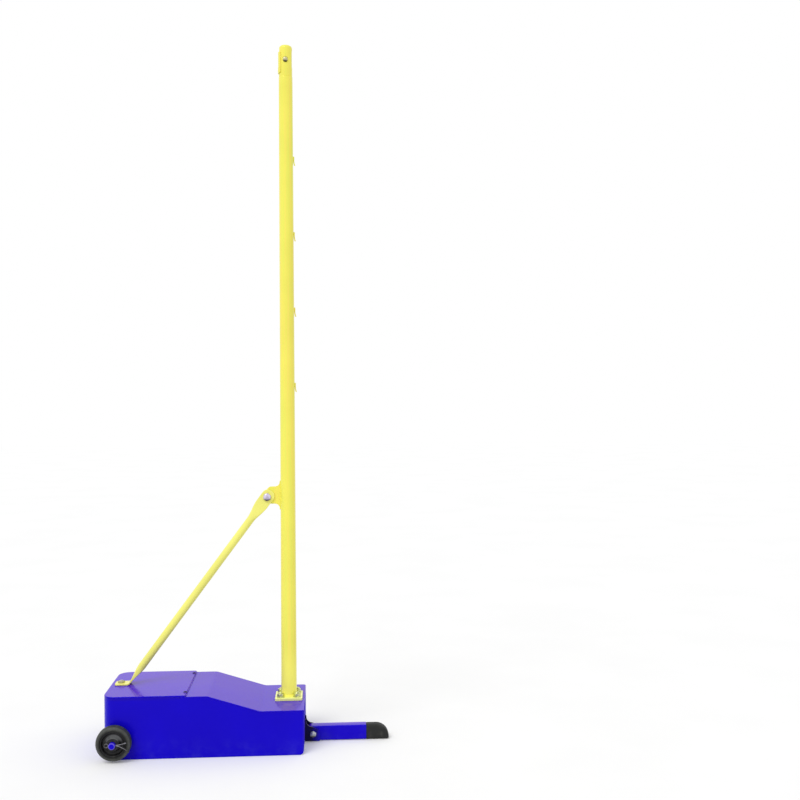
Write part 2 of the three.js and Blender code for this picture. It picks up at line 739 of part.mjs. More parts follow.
const braceOuter = braceY - braceFlat / 2;
const braceTop = coverTop + braceFlat;
piece('brace_lug', braceLug(), yellowPaint);
piece('brace_strut', braceStrut(), yellowPaint);
piece('brace_top_bolt', bolt('y', m10, braceOuter, -1,
  lugThickness / 2 - braceOuter + m10.nut + boltEnd, braceAt), zincSteel);
piece('brace_top_nut', nut('y', m10, lugThickness / 2, 1, braceAt), zincSteel);
piece('brace_foot_bolt', bolt('z', m8, braceTop, 1, braceFlat + sheet + m8.nut + boltEnd,
  braceFootAt), zincSteel);
piece('brace_foot_nut', nut('z', m8, coverUnder, -1, braceFootAt), zincSteel);

// Ears of the stabiliser arm, welded to the front wall and flared up it
const pivotAt = [faceX + pivotReach, 0, pivotHeight];
const earInner = armWidth / 2 + earSideGap;
const earOuter = earInner + earThickness;

function ear(from, to) {
  const root = faceX + weldGap;
  const nose = faceX + earReach;
  const rise = root + earRise;
  const shape = outline([
    [root, earFloorGap], [nose, earFloorGap, earRise], [nose, earNose, earNoseCorner],
    [rise + earFlare, earCrest, earNoseCorner], [rise, earCrest, earFlare],
    [rise, earHeight, earRise / 2], [root, earHeight],
  ]);
  return prism('xz', shape, from, to)
    .subtract(rod('y', holeOf(m8), -boxWidth, boxWidth, pivotAt));
}

piece('arm_ear_near', ear(-earOuter, -earInner), bluePaint);
piece('arm_ear_far', ear(earInner, earOuter), bluePaint);
piece('arm_bolt', bolt('y', m8, -earOuter, -1, 2 * earOuter + m8.nut + boltEnd, pivotAt), zincSteel);
piece('arm_nut', nut('y', m8, earOuter, 1, pivotAt), zincSteel);

// Stabiliser arm: rectangular tube with a heel rounded about the pivot, plugged by a rubber foot
const armLow = armFloorGap;
const armHigh = armFloorGap + armHeight;
const armHalf = armWidth / 2;
const tipX = faceX + armTip;
const armEnd = tipX - footLength;

function armCore(inset, from, to) {
  return prism('yz', rectangle(inset - armHalf, armHalf - inset, armLow + inset, armHigh - inset,
    armEdge - armWall / 2), from, to);
}

function armTube() {
  const heel = pivotAt[0] - armHeight / 2;
  const side = prism('xz', outline([
    [armEnd, armLow], [armEnd, armHigh], [heel, armHigh, armHeight / 2 - seatGap],
    [heel, armLow, armHeight / 2 - seatGap],
  ]), -armWidth, armWidth);
  const section = prism('yz', rectangle(-armHalf, armHalf, armLow, armHigh, armEdge),
    heel - overrun, armEnd + overrun);
  return side.intersect(section).subtract(armCore(armWall, heel - overrun, armEnd + overrun))
    .subtract(rod('y', m8.radius + runGap, -armWidth, armWidth, pivotAt));
}

// Rubber foot: flush with the tube, flat below, its top curving down to a thin toe
function armFoot() {
  const back = armEnd + seatGap;
  const side = prism('xz', outline([
    [back, 0], [tipX, 0, footToe / 3], [tipX, armHigh, armHigh - footToe], [back, armHigh],
  ]), -armHalf, armHalf);
  const above = prism('xy', outline([
    [back, -armHalf], [tipX, -armHalf, footCorner], [tipX, armHalf, footCorner],
    [back, armHalf],
  ]), -overrun, armHigh + overrun);
  const plug = armCore(armWall + seatGap, armEnd - footPlug, back + footCorner);
  return side.intersect(above).add(plug);
}

piece('arm_tube', armTube(), bluePaint);
piece('arm_foot', armFoot(), rubber);

export default object;
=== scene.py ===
import math

import bmesh
import bpy
import numpy as np
from mathutils import Matrix, Vector


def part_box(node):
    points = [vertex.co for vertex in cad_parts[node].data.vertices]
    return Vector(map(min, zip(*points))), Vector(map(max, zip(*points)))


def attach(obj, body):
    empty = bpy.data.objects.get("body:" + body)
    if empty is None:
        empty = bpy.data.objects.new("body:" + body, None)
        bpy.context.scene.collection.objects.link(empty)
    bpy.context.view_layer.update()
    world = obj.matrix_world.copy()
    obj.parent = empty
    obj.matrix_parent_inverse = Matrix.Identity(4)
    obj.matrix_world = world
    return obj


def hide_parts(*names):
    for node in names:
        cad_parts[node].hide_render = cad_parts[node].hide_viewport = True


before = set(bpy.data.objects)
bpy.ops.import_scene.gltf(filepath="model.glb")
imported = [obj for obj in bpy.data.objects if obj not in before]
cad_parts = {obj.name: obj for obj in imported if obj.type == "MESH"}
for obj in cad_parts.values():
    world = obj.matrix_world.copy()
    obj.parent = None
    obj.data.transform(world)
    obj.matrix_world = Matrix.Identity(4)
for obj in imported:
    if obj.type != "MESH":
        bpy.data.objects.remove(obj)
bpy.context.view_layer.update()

scene = bpy.context.scene
milli = 0.001  # sizes below are in millimetres, meshes are in metres
axleAt = (-364.5, 0, 41)
bothSides = (("near", -1), ("far", 1))
print("stage: packed frame loaded")

meshing = {
    "merge": 2e-6,  # metres between corners that count as one
    "flat": 0.4,  # degrees between faces that count as one
    "apart": 1e-4,  # least distance between points of an outline
    "edge": 0.8, "bevelRows": 3,  # usual radius of a rounded edge
    "domeStart": 0.12,  # radians up to the first row of a domed end
    "domeRows": 8,
}


def unit(vectors):
    return vectors / np.linalg.norm(vectors, axis=-1, keepdims=True)


def around(sides):
    return np.linspace(0, 2 * np.pi, sides, endpoint=False)[None]


def surface(grid, loopAlong=False):
    # A grid of rows by columns of points: columns close on themselves, rows close on
    # themselves too or end in a pole at the middle of their last ring
    rows, columns = grid.shape[:2]
    row = np.arange(rows if loopAlong else rows - 1)[:, None]
    column = np.arange(columns)[None]
    nextRow, nextColumn = (row + 1) % rows, (column + 1) % columns
    quads = np.stack([row * columns + column, row * columns + nextColumn,
                      nextRow * columns + nextColumn, nextRow * columns + column],
                     -1).reshape(-1, 4)
    points, triangles = grid.reshape(-1, 3), np.empty((0, 3), int)
    if not loopAlong:
        pole, last, ring = rows * columns, (rows - 1) * columns, np.arange(columns)
        beside = (ring + 1) % columns
        triangles = np.concatenate([
            np.stack([np.full(columns, pole), beside, ring], -1),
            np.stack([np.full(columns, pole + 1), last + ring, last + beside], -1)])
        points = np.concatenate([points, grid[:1].mean(1), grid[-1:].mean(1)])
    # Volume is a sixth of the sum of each triangle's corner product; when it is below zero
    # every face is turned round
    split = np.concatenate([quads[:, [0, 1, 2]], quads[:, [0, 2, 3]], triangles])
    a, b, c = points[split[:, 0]], points[split[:, 1]], points[split[:, 2]]
    if (a * np.cross(b, c)).sum() < 0:
        quads, triangles = quads[:, ::-1], triangles[:, ::-1]
    return points, quads, triangles


def pointsOf(mesh):
    points = np.empty(len(mesh.vertices) * 3, np.float32)
    mesh.vertices.foreach_get("co", points)
    return points.reshape(-1, 3)


def meshOf(name, points, quads, triangles):
    mesh = bpy.data.meshes.new(name)
    corners = np.concatenate([quads.ravel(), triangles.ravel()])
    sizes = np.concatenate([np.full(len(quads), 4), np.full(len(triangles), 3)])
    mesh.vertices.add(len(points))
    mesh.vertices.foreach_set("co", (points * milli).astype(np.float32).ravel())
    mesh.loops.add(len(corners))
    mesh.loops.foreach_set("vertex_index", corners.astype(np.int32))
    mesh.polygons.add(len(sizes))
    mesh.polygons.foreach_set("loop_start", (np.cumsum(sizes) - sizes).astype(np.int32))
    mesh.update(calc_edges=True)
    mesh.validate()
    return mesh


def linked(name, data):
    made = bpy.data.objects.new(name, data)
    scene.collection.objects.link(made)
    return made


def piece(name, shape, material, body="base", sharp=35, stands=()):
    mesh = shape if isinstance(shape, bpy.types.Mesh) else meshOf(name, *shape)
    mesh.materials.append(material)
    mesh.shade_smooth()
    mesh.set_sharp_from_angle(angle=math.radians(sharp))
    made = linked(name, mesh)
    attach(made, body)
    if stands:
        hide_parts(*stands)
    return made


def skin(node, shape, material, body="base", sharp=35):
    # A mesh that takes the place of the CAD node of its name
    return piece("skin_" + node, shape, material, body, sharp, (node,))


def softened(corners, radii, steps=6):
    # A closed outline whose corners become arcs touching both sides: each arc's centre lies
    # on the corner's bisector, radius over the sine of half the angle away
    corner = np.array(corners, float)
    radius = np.broadcast_to(np.array(radii, float), len(corner))[:, None]
    back = unit(np.roll(corner, 1, 0) - corner)
    ahead = unit(np.roll(corner, -1, 0) - corner)
    half = np.arccos(np.clip((back * ahead).sum(1), -1, 1))[:, None] / 2
    centre = corner + unit(back + ahead) * radius / np.sin(half)
    first = corner + back * radius / np.tan(half) - centre
    last = corner + ahead * radius / np.tan(half) - centre
    turn = (np.pi - 2 * half)[:, None]
    t = np.linspace(0, 1, steps)[None, :, None]
    arcs = centre[:, None] + (first[:, None] * np.sin((1 - t) * turn)
                              + last[:, None] * np.sin(t * turn)) / np.sin(turn)
    points = arcs.reshape(-1, 2)
    apart = np.linalg.norm(points - np.roll(points, 1, 0), axis=1) > meshing["apart"]
    return points[apart]


def alongAxis(axis, radius, angle, along, at=(0, 0, 0)):
    # Points at a radius and angle about an axis through a point, a distance along it
    side, up = radius * np.cos(angle), radius * np.sin(angle)
    along = along + 0 * side
    order = (side, along, up) if axis == "y" else (side, up, along)
    return np.stack(order, -1) + np.array(at, float)


def turned(axis, profile, at=(0, 0, 0), sides=96, loopAlong=True):
    # A profile of radius and place along the axis, carried round the axis
    profile = np.asarray(profile, float)
    grid = alongAxis(axis, profile[:, :1], around(sides), profile[:, 1:2], at)
    return surface(grid, loopAlong)


def swept(path, binormal, radius, sides, loopAlong=False):
    # A round section carried along a flat path: across is the path plane's own normal and
    # up is that normal crossed with the path's direction
    if loopAlong:
        tangent = unit(np.roll(path, -1, 0) - np.roll(path, 1, 0))
    else:
        tangent = unit(np.gradient(path, axis=0))
    across = np.broadcast_to(unit(np.array(binormal, float)), path.shape)
    up = unit(np.cross(across, tangent))
    angle = around(sides)[..., None]
    radius = np.broadcast_to(radius, (len(path), sides))[..., None]
    grid = path[:, None] + radius * (np.cos(angle) * up[:, None]
                                     + np.sin(angle) * across[:, None])
    return surface(grid, loopAlong)


def roundedBy(radius, distance):
    # How far a quarter circle of the radius draws in at a distance from its end
    left = np.clip(radius - distance, 0, radius)
    return radius - np.sqrt(np.clip(radius ** 2 - left ** 2, 0, None))


def domedEnds(length, reach, count):
    # Places along a rod and its share of the radius there, falling as a quarter circle
    # at both ends
    t = np.linspace(meshing["domeStart"], np.pi / 2, meshing["domeRows"])
    ends = reach * (1 - np.cos(t))
    s = np.concatenate([ends, np.linspace(reach, length - reach, count)[1:-1],
                        length - ends[::-1]])
    near = np.clip(np.minimum(s, length - s) / reach, 0, 1)
    return s, np.sqrt(1 - (1 - near) ** 2)


def copyOf(node):
    # The node's triangles with their shared corners merged, and faces in one plane made one
    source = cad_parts[node].data
    points = pointsOf(source).astype(float)
    corners = np.empty(len(source.loops), np.int32)
    source.loops.foreach_get("vertex_index", corners)
    rounded, index = np.unique(np.round(points / meshing["merge"]).astype(int), axis=0,
                               return_inverse=True)
    places = np.zeros((len(rounded), 3))
    places[index.ravel()] = points
    faces = index.ravel()[corners].reshape(-1, 3)
    faces = faces[(faces != np.roll(faces, 1, 1)).all(1)]
    mesh = meshOf(node + "_form", places / milli, np.empty((0, 4), int), faces)
    form = bmesh.new()
    form.from_mesh(mesh)
    bmesh.ops.dissolve_limit(form, angle_limit=math.radians(meshing["flat"]), verts=form.verts,
                             edges=form.edges)
    form.to_mesh(mesh)
    form.free()
    return mesh


def dressed(node, material, edge=meshing["edge"], body="base", sharp=28):
    # A CAD node with its edges truly rounded
    made = skin(node, copyOf(node), material, body, sharp)
    bevel = made.modifiers.new("edges", "BEVEL")
    bevel.limit_method = "ANGLE"
    bevel.angle_limit = math.radians(sharp)
    bevel.width = edge * milli
    bevel.segments = meshing["bevelRows"]
    bevel.use_clamp_overlap = False
    bevel.harden_normals = True


def feed(tree, node, inputs):
    for name, value in inputs.items():
        if isinstance(value, Field):
            tree.links.new(value.socket, node.inputs[name])
        else:
            node.inputs[name].default_value = value


def addNode(tree, kind, inputs, **settings):
    made = tree.nodes.new("ShaderNode" + kind)
    for name, value in settings.items():
        setattr(made, name, value)
    feed(tree, made, inputs or {})
    return made


class Field:
    # One output of a new node, so that what follows from it is written as arithmetic
    def __init__(self, tree, kind, output=0, inputs=None, **settings):
        self.tree = tree
        self.socket = addNode(tree, kind, inputs, **settings).outputs[output]

    def maths(self, operation, other=0.0):
        return Field(self.tree, "Math", 0, {0: self, 1: other}, operation=operation)

    def __add__(self, other):
        return self.maths("ADD", other)

    def __sub__(self, other):
        return self.maths("SUBTRACT", other)

    def __mul__(self, other):
        return self.maths("MULTIPLY", other)

    def __abs__(self):
        return self.maths("ABSOLUTE")

    def between(self, low, high, toLow=0.0, toHigh=1.0):
        ends = {"From Min": low, "From Max": high, "To Min": toLow, "To Max": toHigh}
        return Field(self.tree, "MapRange", "Result", {"Value": self, **ends},
                     interpolation_type="SMOOTHSTEP")


def shade(colour, factor=1.0):
    return [*np.minimum(np.multiply(colour, factor), 1.0).tolist(), 1.0]


class Look:
    # A material whose tone, roughness and normal are made step by step. In a table of looks a
    # Noise is a scale, detail, roughness and stretch, a Span is where a mask starts and where
    # it is full with its least and most, a Depth is in millimetres and the rest in metres
    def __init__(self, name, slotName, values, colour, gloss, metallic=0.0):
        made = self.material = bpy.data.materials.new(name)
        made.use_nodes = True
        made.diffuse_color = (*colour, 1)
        made.roughness, made.metallic = gloss, metallic
        self.values, self.tree, self.normal = values, made.node_tree, None
        self.tree.nodes.clear()
        self.shader = addNode(self.tree, "BsdfPrincipled", {"Metallic": metallic})
        output = addNode(self.tree, "OutputMaterial", None)
        self.tree.links.new(self.shader.outputs["BSDF"], output.inputs["Surface"])
        self.place = Field(self.tree, "TexCoord", "Object")

    def noiseOf(self, scale, detail=3.0, roughness=0.55, stretch=None):
        place = self.place
        if stretch:
            place = Field(self.tree, "Mapping", 0, {"Vector": place, "Scale": stretch})
        return Field(self.tree, "TexNoise", "Fac", {
            "Vector": place, "Scale": scale, "Detail": detail, "Roughness": roughness})

    def noise(self, key):
        return self.noiseOf(*self.values[key + "Noise"])

    def mask(self, key, field=None):
        return (field or self.noise(key)).between(*self.values[key + "Span"])

    def coordinate(self, axis):
        return Field(self.tree, "SeparateXYZ", axis, {"Vector": self.place})

    def fromAxle(self):
        # Distance from the wheels' axle, read across it
        flat = Field(self.tree, "VectorMath", "Vector", {0: self.place, 1: (1, 0, 1)},
                     operation="MULTIPLY")
        return Field(self.tree, "VectorMath", "Value", {0: flat, 1: [c * milli for c in axleAt]},
                     operation="DISTANCE")

    def tint(self, share, key, factor=1.0):
        # Sockets 0, 6 and 7 are the share and the two colours
        ends = {0: share, 6: self.tone, 7: shade(self.values[key], factor)}
        self.tone = Field(self.tree, "Mix", 2, ends, data_type="RGBA")

    def stain(self, share, key):
        self.tint(share, key)
        self.rough = self.rough + share * self.values[key + "Duller"]

    def bump(self, height, depth):
        inputs = {"Height": height, "Distance": depth * milli, "Strength": 1.0}
        if self.normal:
            inputs["Normal"] = self.normal
        self.normal = Field(self.tree, "Bump", "Normal", inputs)

    def finished(self, **more):
        feed(self.tree, self.shader, {"Base Color": self.tone, "Roughness": self.rough,
                                      "Normal": self.normal, **more})
        return self.material


paintValues = {
    "yellow": (0.885, 0.82, 0.125), "faded": (0.86, 0.83, 0.2), "flange": (0.93, 0.98, 0.32),
    "blue": (0.006, 0.002, 0.535),
    "yellowTint": (1.0, 0.93, 0.35), "yellowIndex": 1.5,
    "blueTint": (0.3, 0.16, 1.0), "blueIndex": 1.36,  # of refraction, which sets the mirroring
    "blueBloom": (0.8, 0.12, 1.0), "bloomRoughness": 0.4,  # the paint seen at a flat angle
    "gloss": 0.13, "glossSpan": (0.35, 0.7, 0.1, 0.18), "worn": 0.35,
    "broadNoise": (7.0, 4.0), "broadSpan": (0.3, 0.7), "mottle": 0.05,
    "fineNoise": (160.0, 3.0), "fineSpan": (0.55, 0.75, 0, 0.12), "fineShade": 0.8,
    "dust": (0.3, 0.29, 0.27), "lowDustSpan": (0.055, 0.0),
    "dustNoise": (38.0, 6.0, 0.65), "dustSpan": (0.4, 0.75, 0, 0.045),
    "edgeReach": 1.6 * milli, "edgeSamples": 4, "edgeSpan": (0.985, 0.9),
    "primer": (0.2, 0.2, 0.21), "chipNoise": (420.0, 4.0, 0.6), "chipSpan": (0.66, 0.7),
    "patchNoise": (22.0, 2.0), "patchSpan": (0.5, 0.6), "chipDepth": 0.03,
    "scratchNoise": (1.0, 2.0, 0.5, (60, 900, 1300)), "scratchSpan": (0.66, 0.74),
    "scratchedNoise": (12.0,), "scratchedSpan": (0.5, 0.62),
    "peelNoise": (420.0, 2.0, 0.4), "peelDepth": 0.035,  # orange peel
    "waveNoise": (9.0, 1.5, 0.4), "waveDepth": 0.25,  # buckle of the sheet
    # Streaks along the tube, and painted light: the yellow made brighter near the box
    "streakNoise": (1.0, 2.0, 0.5, (210, 210, 3.5)),
    "warm": (0.97, 0.76, 0.15), "warmSpan": (0.51, 0.62, 0, 0.5),
    "cool": (0.79, 0.84, 0.13), "coolSpan": (0.47, 0.38, 0, 0.5),
    "low": (1.0, 0.95, 0.17), "lowSpan": (0.24, 0.14, 0, 0.9),
    # Grease and painted shade round the ears, darkest at the wall
    "greaseAndShade": (0.006, 0.008, 0.007), "greaseAndShadeSpan": (0.072, 0.048, 0, 0.95),
    "greaseAndShadeDuller": 0.3, "raggedNoise": (90.0, 4.0), "raggedReach": 0.03,
    # Painted shade before the cover's front edge and on the walls' brim under it, and the dull
    # front wall
    "lidShade": (0.02, 0.009, 0.24), "lidShadeDuller": 0.4, "seamAt": -0.2163,
    "nearSpan": (0.0032, 0.0006), "seamNoise": (70.0, 4.0), "seamSpan": (0.2, 0.6, 0.1, 0.35),
    "brimSpan": (0.1235, 0.129, 0, 0.35), "rearSpan": (-0.223, -0.232),
    "frontSpan": (0.032, 0.0345, 0.08, 0.6),
    # Worn ring on the axle's ends
    "rub": (0.13, 0.1, 0.6), "rubSpan": (0.0053, 0.0064), "rubRagged": 0.0012,
    "axleEndSpan": (0.1352, 0.1360), "rubDuller": 0.3,
}


def tubeSpots(look):
    streaks = look.noise("streak")
    for key in ("warm", "cool"):
        look.tint(look.mask(key, streaks), key)
    # Painted light: a brighter yellow low on the tube, near the box
    look.tint(look.mask("low", look.coordinate("Z")), "low")


def earSpots(look):
    # Grease and painted shade: near-black from the wall outwards, ending in a ragged line
    ragged = (look.noise("ragged") - 0.5) * paintValues["raggedReach"]
    look.stain(look.mask("greaseAndShade", look.coordinate("X") + ragged), "greaseAndShade")


def seamSpots(look):
    # Painted shade on the deck before the cover's front edge
    near = look.mask("near", abs(look.coordinate("X") - paintValues["seamAt"]))
    look.stain(near * look.mask("seam"), "lidShade")


def wallSpots(look):
    x = look.coordinate("X")
    # Painted shade on the walls' brim under the cover's edge
    look.tint(look.mask("brim", look.coordinate("Z")) * look.mask("rear", x), "lidShade")
    look.rough = look.rough + look.mask("front", x)


def axleSpots(look):
    ragged = look.noise("fine") * paintValues["rubRagged"]
    ring = look.mask("rub", look.fromAxle() + ragged)
    look.stain(ring * look.mask("axleEnd", abs(look.coordinate("Y"))), "rub")


def paint(name, key, wave, wear=0.5, bloom=0.0, spots=None):
    # Enamel: tone wanders by broad and fine noise, dust gathers near the floor, chips show
    # primer where the edge mask meets a fine noise, and peel and buckle bend the gloss
    v = paintValues
    colour, family = v[key], "blue" if key == "blue" else "yellow"
    look = Look(name, family + "_paint", v, colour, v["gloss"])
    broad = look.noise("broad")
    look.tone = shade(colour, 1 - v["mottle"])
    look.tint(look.mask("broad", broad), key, 1 + v["mottle"])
    look.tint(look.mask("fine"), key, v["fineShade"])
    dust = look.mask("lowDust", look.coordinate("Z")) * look.mask("dust")
    look.tint(dust, "dust")
    rounded = Field(look.tree, "Bevel", "Normal", {"Radius": v["edgeReach"]},
                    samples=v["edgeSamples"])
    plain = Field(look.tree, "NewGeometry", "Normal")
    product = Field(look.tree, "VectorMath", "Value", {0: rounded, 1: plain},
                    operation="DOT_PRODUCT")
    chips = look.mask("chip") * look.mask("patch") * (look.mask("edge", product) * wear)
    look.tint(chips, "primer")
    scratch = look.mask("scratch") * look.mask("scratched")
    look.rough = look.mask("gloss", broad) + (scratch + (dust + chips)) * v["worn"]
    look.bump(look.noise("peel"), v["peelDepth"])
    look.bump(look.noise("wave"), v["waveDepth"] * wave)
    look.bump(scratch + chips, -v["chipDepth"])
    if spots:
        spots(look)
    more = {"IOR": v[family + "Index"], "Specular Tint": shade(v[family + "Tint"])}
    if family == "blue":
        more.update({"Sheen Weight": bloom, "Sheen Roughness": v["bloomRoughness"],
                     "Sheen Tint": shade(v["blueBloom"])})
    return look.finished(**more)


steelValues = {
    "bright": (0.68, 0.66, 0.72), "gloss": 0.34, "patchDuller": 0.12,
    "dull": (0.4, 0.39, 0.43), "patchNoise": (130.0, 5.0, 0.6), "patchSpan": (0.35, 0.7),
    "cellScale": 900.0, "cellShare": 0.25,
    "stain": (0.16, 0.13, 0.1), "stainNoise": (75.0, 6.0, 0.7),
    "stainSpan": (0.62, 0.78, 0, 0.5), "stainDuller": 0.4,
    # Painted shade on a fastener's lower side
    "underShade": (0.05, 0.042, 0.03), "underShadeSpan": (0.15, 0.85, 0, 0.9), "underShadeRagged": 0.2,
    "grainNoise": (1400.0, 3.0, 0.6), "grainDepth": 0.02,
    "dentNoise": (260.0, 2.0), "dentDepth": 0.05,
}


def steel(name, level=(1, 1, 1), duller=0.0):
    # Zinc plate: crystals from a cell pattern, dull patches, brown stain in a few spots, and
    # painted shade, dark brown, where the mesh says that it lies low
    v = steelValues
    look = Look(name, "zinc_steel", v, v["bright"], v["gloss"], 1.0)
    patches, stain = look.mask("patch"), look.mask("stain")
    cells = Field(look.tree, "TexVoronoi", "Color", {"Vector": look.place,
                                                     "Scale": v["cellScale"]})
    cells = Field(look.tree, "RGBToBW", "Val", {"Color": cells})
    look.tone = shade(v["dull"], level)
    look.tint(patches, "bright", level)
    look.tint(cells * v["cellShare"], "dull", level)
    look.tint(stain, "stain", level)
    # Painted shade: darker where the mesh lies low
    low = Field(look.tree, "Attribute", "Fac", attribute_name="low")
    look.tint(look.mask("underShade", low + (patches - 0.5) * v["underShadeRagged"]), "underShade")
    gloss = v["gloss"] + duller
    look.rough = patches.between(0, 1, gloss + v["patchDuller"], gloss) + stain * v["stainDuller"]
    look.bump(look.noise("grain"), v["grainDepth"])
    look.bump(look.noise("dent"), v["dentDepth"])
    return look.finished()


mouldedValues = {
    "tyre": (0.036, 0.038, 0.035), "rubber": (0.017, 0.018, 0.017),
    "wheel_plastic": (0.009, 0.009, 0.01), "nylon": (0.69, 0.68, 0.62),
    "cast_iron": (0.07, 0.07, 0.075), "specular": 0.25,
    "dust": (0.24, 0.23, 0.2), "dustSpan": (0.48, 0.75, 0), "dustDuller": 0.5,
    "broadNoise": (60.0, 5.0, 0.6),
    "grainNoise": (2.0, 0.5), "grainSpan": (0.4, 0.7, 0, 0.4), "grainShade": 0.7,
    "markNoise": (200.0, 4.0, 0.65), "markSpan": (0.58, 0.7), "markDuller": 0.12,
    "dentNoise": (150.0, 3.0), "dentShare": 1.5,
    # Distances from the axle that bound the rings, and how the broad noise thins them
    "shoulderInSpan": (0.0305, 0.0335), "shoulderOutSpan": (0.0367, 0.035),
    "shoulderSpan": (0.3, 0.65, 0.3, 1), "shoulderShade": 2.1,
    "seatSpan": (0.0315, 0.0285, 0, 0.85), "seatShade": 0.35,
    "hubInSpan": (0.0115, 0.015), "hubOutSpan": (0.0205, 0.017),
    "hubSpan": (0.3, 0.55, 0.3, 0.95), "hubHeightSpan": (0.043, 0.052, 0.08, 1),
    "hubDustAndHighlight": (0.15, 0.1545, 0.159),
}


def ringed(look, broad, key):
    out = look.fromAxle()
    return look.mask(key + "In", out) * look.mask(key + "Out", out) * look.mask(key, broad)


def tyreRings(look, broad):
    # A shoulder paled partly by wear and partly by a painted reflection of the sky, and a darker
    # seat at the rim
    v = mouldedValues
    look.tint(ringed(look, broad, "shoulder"), "tyre", v["shoulderShade"])
    look.tint(look.mask("seat", look.fromAxle()), "tyre", v["seatShade"])


def dishRings(look, broad):
    # Pale ring round the hub: dust, with a painted highlight that makes it strongest above and
    # thin on its lower half
    height = look.mask("hubHeight", look.coordinate("Z"))
    look.tint(ringed(look, broad, "hub") * height, "hubDustAndHighlight")


def moulded(name, slotName, gloss, grain, dustShare, grainScale=1500.0, rings=None):
    # Rubber, moulded plastic or cast iron: fine grain, pale dust where a broad noise is high,
    # dull marks, and on the wheels rings of another tone
    v = mouldedValues
    colour = v[slotName]
    look = Look(name, slotName, v, colour, gloss)
    broad, fine = look.noise("broad"), look.noiseOf(grainScale, *v["grainNoise"])
    dust = broad.between(*v["dustSpan"], dustShare)
    look.tone = shade(colour)
    look.tint(look.mask("grain", fine), slotName, v["grainShade"])
    look.tint(dust, "dust")
    if rings:
        rings(look, broad)
    marks = look.mask("mark").between(0, 1, gloss, gloss + v["markDuller"])
    look.rough = marks + dust * v["dustDuller"]
    look.bump(fine, grain)
    look.bump(look.noise("dent"), grain * v["dentShare"])
    return look.finished(**{"Specular IOR Level": v["specular"]})


yellowPaint = paint("yellow enamel", "yellow", wave=0.35, spots=tubeSpots)
fadedYellow = paint("yellow enamel, faded", "faded", wave=0.35)
# Painted light: a paler, greener copy of the yellow for the flange
flangeLitYellow = paint("yellow enamel on flange, painted light", "flange", wave=0.35)
bluePaint = paint("blue enamel", "blue", wave=1.0, wear=0.8, bloom=0.37, spots=seamSpots)
shellPaint = paint("blue enamel on walls", "blue", wave=1.0, wear=0.8, bloom=0.04,
                   spots=wallSpots)
blueBar = paint("blue enamel on bar", "blue", wave=0.25, wear=0.9, bloom=0.42)
axlePaint = paint("blue enamel on axle", "blue", wave=0.25, wear=0.9, bloom=0.1,
                  spots=axleSpots)
greasyShadedBlue = paint("blue enamel with grease and painted shade", "blue", wave=0.5, bloom=0.1, spots=earSpots)
zincSteel = steel("zinc plate", (0.8, 0.86, 0.84))
brightSteel = steel("bright bolt steel", (1.2, 1.12, 1.3), -0.1)
nutSteel = steel("greasy nut steel", (1.0, 0.96, 0.52), 0.02)
flangeSteel = steel("flange nut steel", (1.3, 1.4, 0.66), 0.06)
wireSteel = steel("pin wire", (0.42, 0.43, 0.44), 0.1)
dullSteel = steel("blackened screw steel", (0.16, 0.12, 0.3), 0.1)
hubSteel = steel("oily washer steel", (0.1, 0.1, 0.1), 0.2)
tyreRubber = moulded("tyre rubber", "tyre", 0.62, 0.03, 0.3, rings=tyreRings)
footRubber = moulded("foot rubber", "rubber", 0.6, 0.04, 0.12)
dishPlastic = moulded("wheel plastic", "wheel_plastic", 0.38, 0.015, 0.1, rings=dishRings)
nylonPlastic = moulded("nylon", "nylon", 0.4, 0.01, 0.1)
castIron = moulded("cast iron", "cast_iron", 0.7, 0.3, 0.1, 500.0)
print("stage: materials made")


m6 = {"radius": 3, "flats": 10, "head": 4, "nut": 5, "pitch": 1.0}
m8 = {"radius": 4, "flats": 13, "head": 5.3, "nut": 6.5, "pitch": 1.25}
m10 = {"radius": 5, "flats": 16, "head": 6.4, "nut": 8, "pitch": 1.5}
fastener = {
    "sides": 72, "gap": 0.3,
    "boltEnd": 3,  # how far a bolt stands out of its nut
    "chamfer": 0.14,  # of the corner radius, as the frame's heads have
    "chamferFall": 1.6,  # of the chamfer, how far the head's corner lies below it
    "crown": 0.3,  # of the head's height, how far its top falls to the chamfer
    "crownStart": 0.1, "crownRows": 10, "chamferRows": 8,
    "rim": ((0, 0.35), (-0.15, 0.12)),  # rounding of the head's lower edge, out and up
    "headFace": 0.485, "nutFace": 0.47,  # of the flats, radius of the face on the seat
    "threadDepth": 0.5,  # of the pitch
    "threadSteps": 8,  # rows in one pitch
    "threadLength": 16, "smoothLeast": 0.5,
    "tip": 0.72,  # of the shank's radius, at the end of its chamfer
    "nutRows": 6, "tap": 0.5,  # chamfer at both ends of a nut's bore
    "washer": 1.6, "washerEdges": (0.15, 0.35, 0.35, 0.15), "washerSides": 64,
    "sleeveEdge": 0.3,
}


def cornerOf(size):
    # Corner radius of a hexagon, and its chamfer
    corner = size["flats"] / 2 / math.cos(math.pi / 6)
    return corner, fastener["chamfer"] * corner


def hexReach(angle, flats):
    # Distance from the middle to a hexagon's side at an angle: half the flats over the cosine
    # of the angle from the middle of the nearest side
    sixth = np.pi / 3
    return flats / 2 / np.cos((angle % sixth) - sixth / 2)


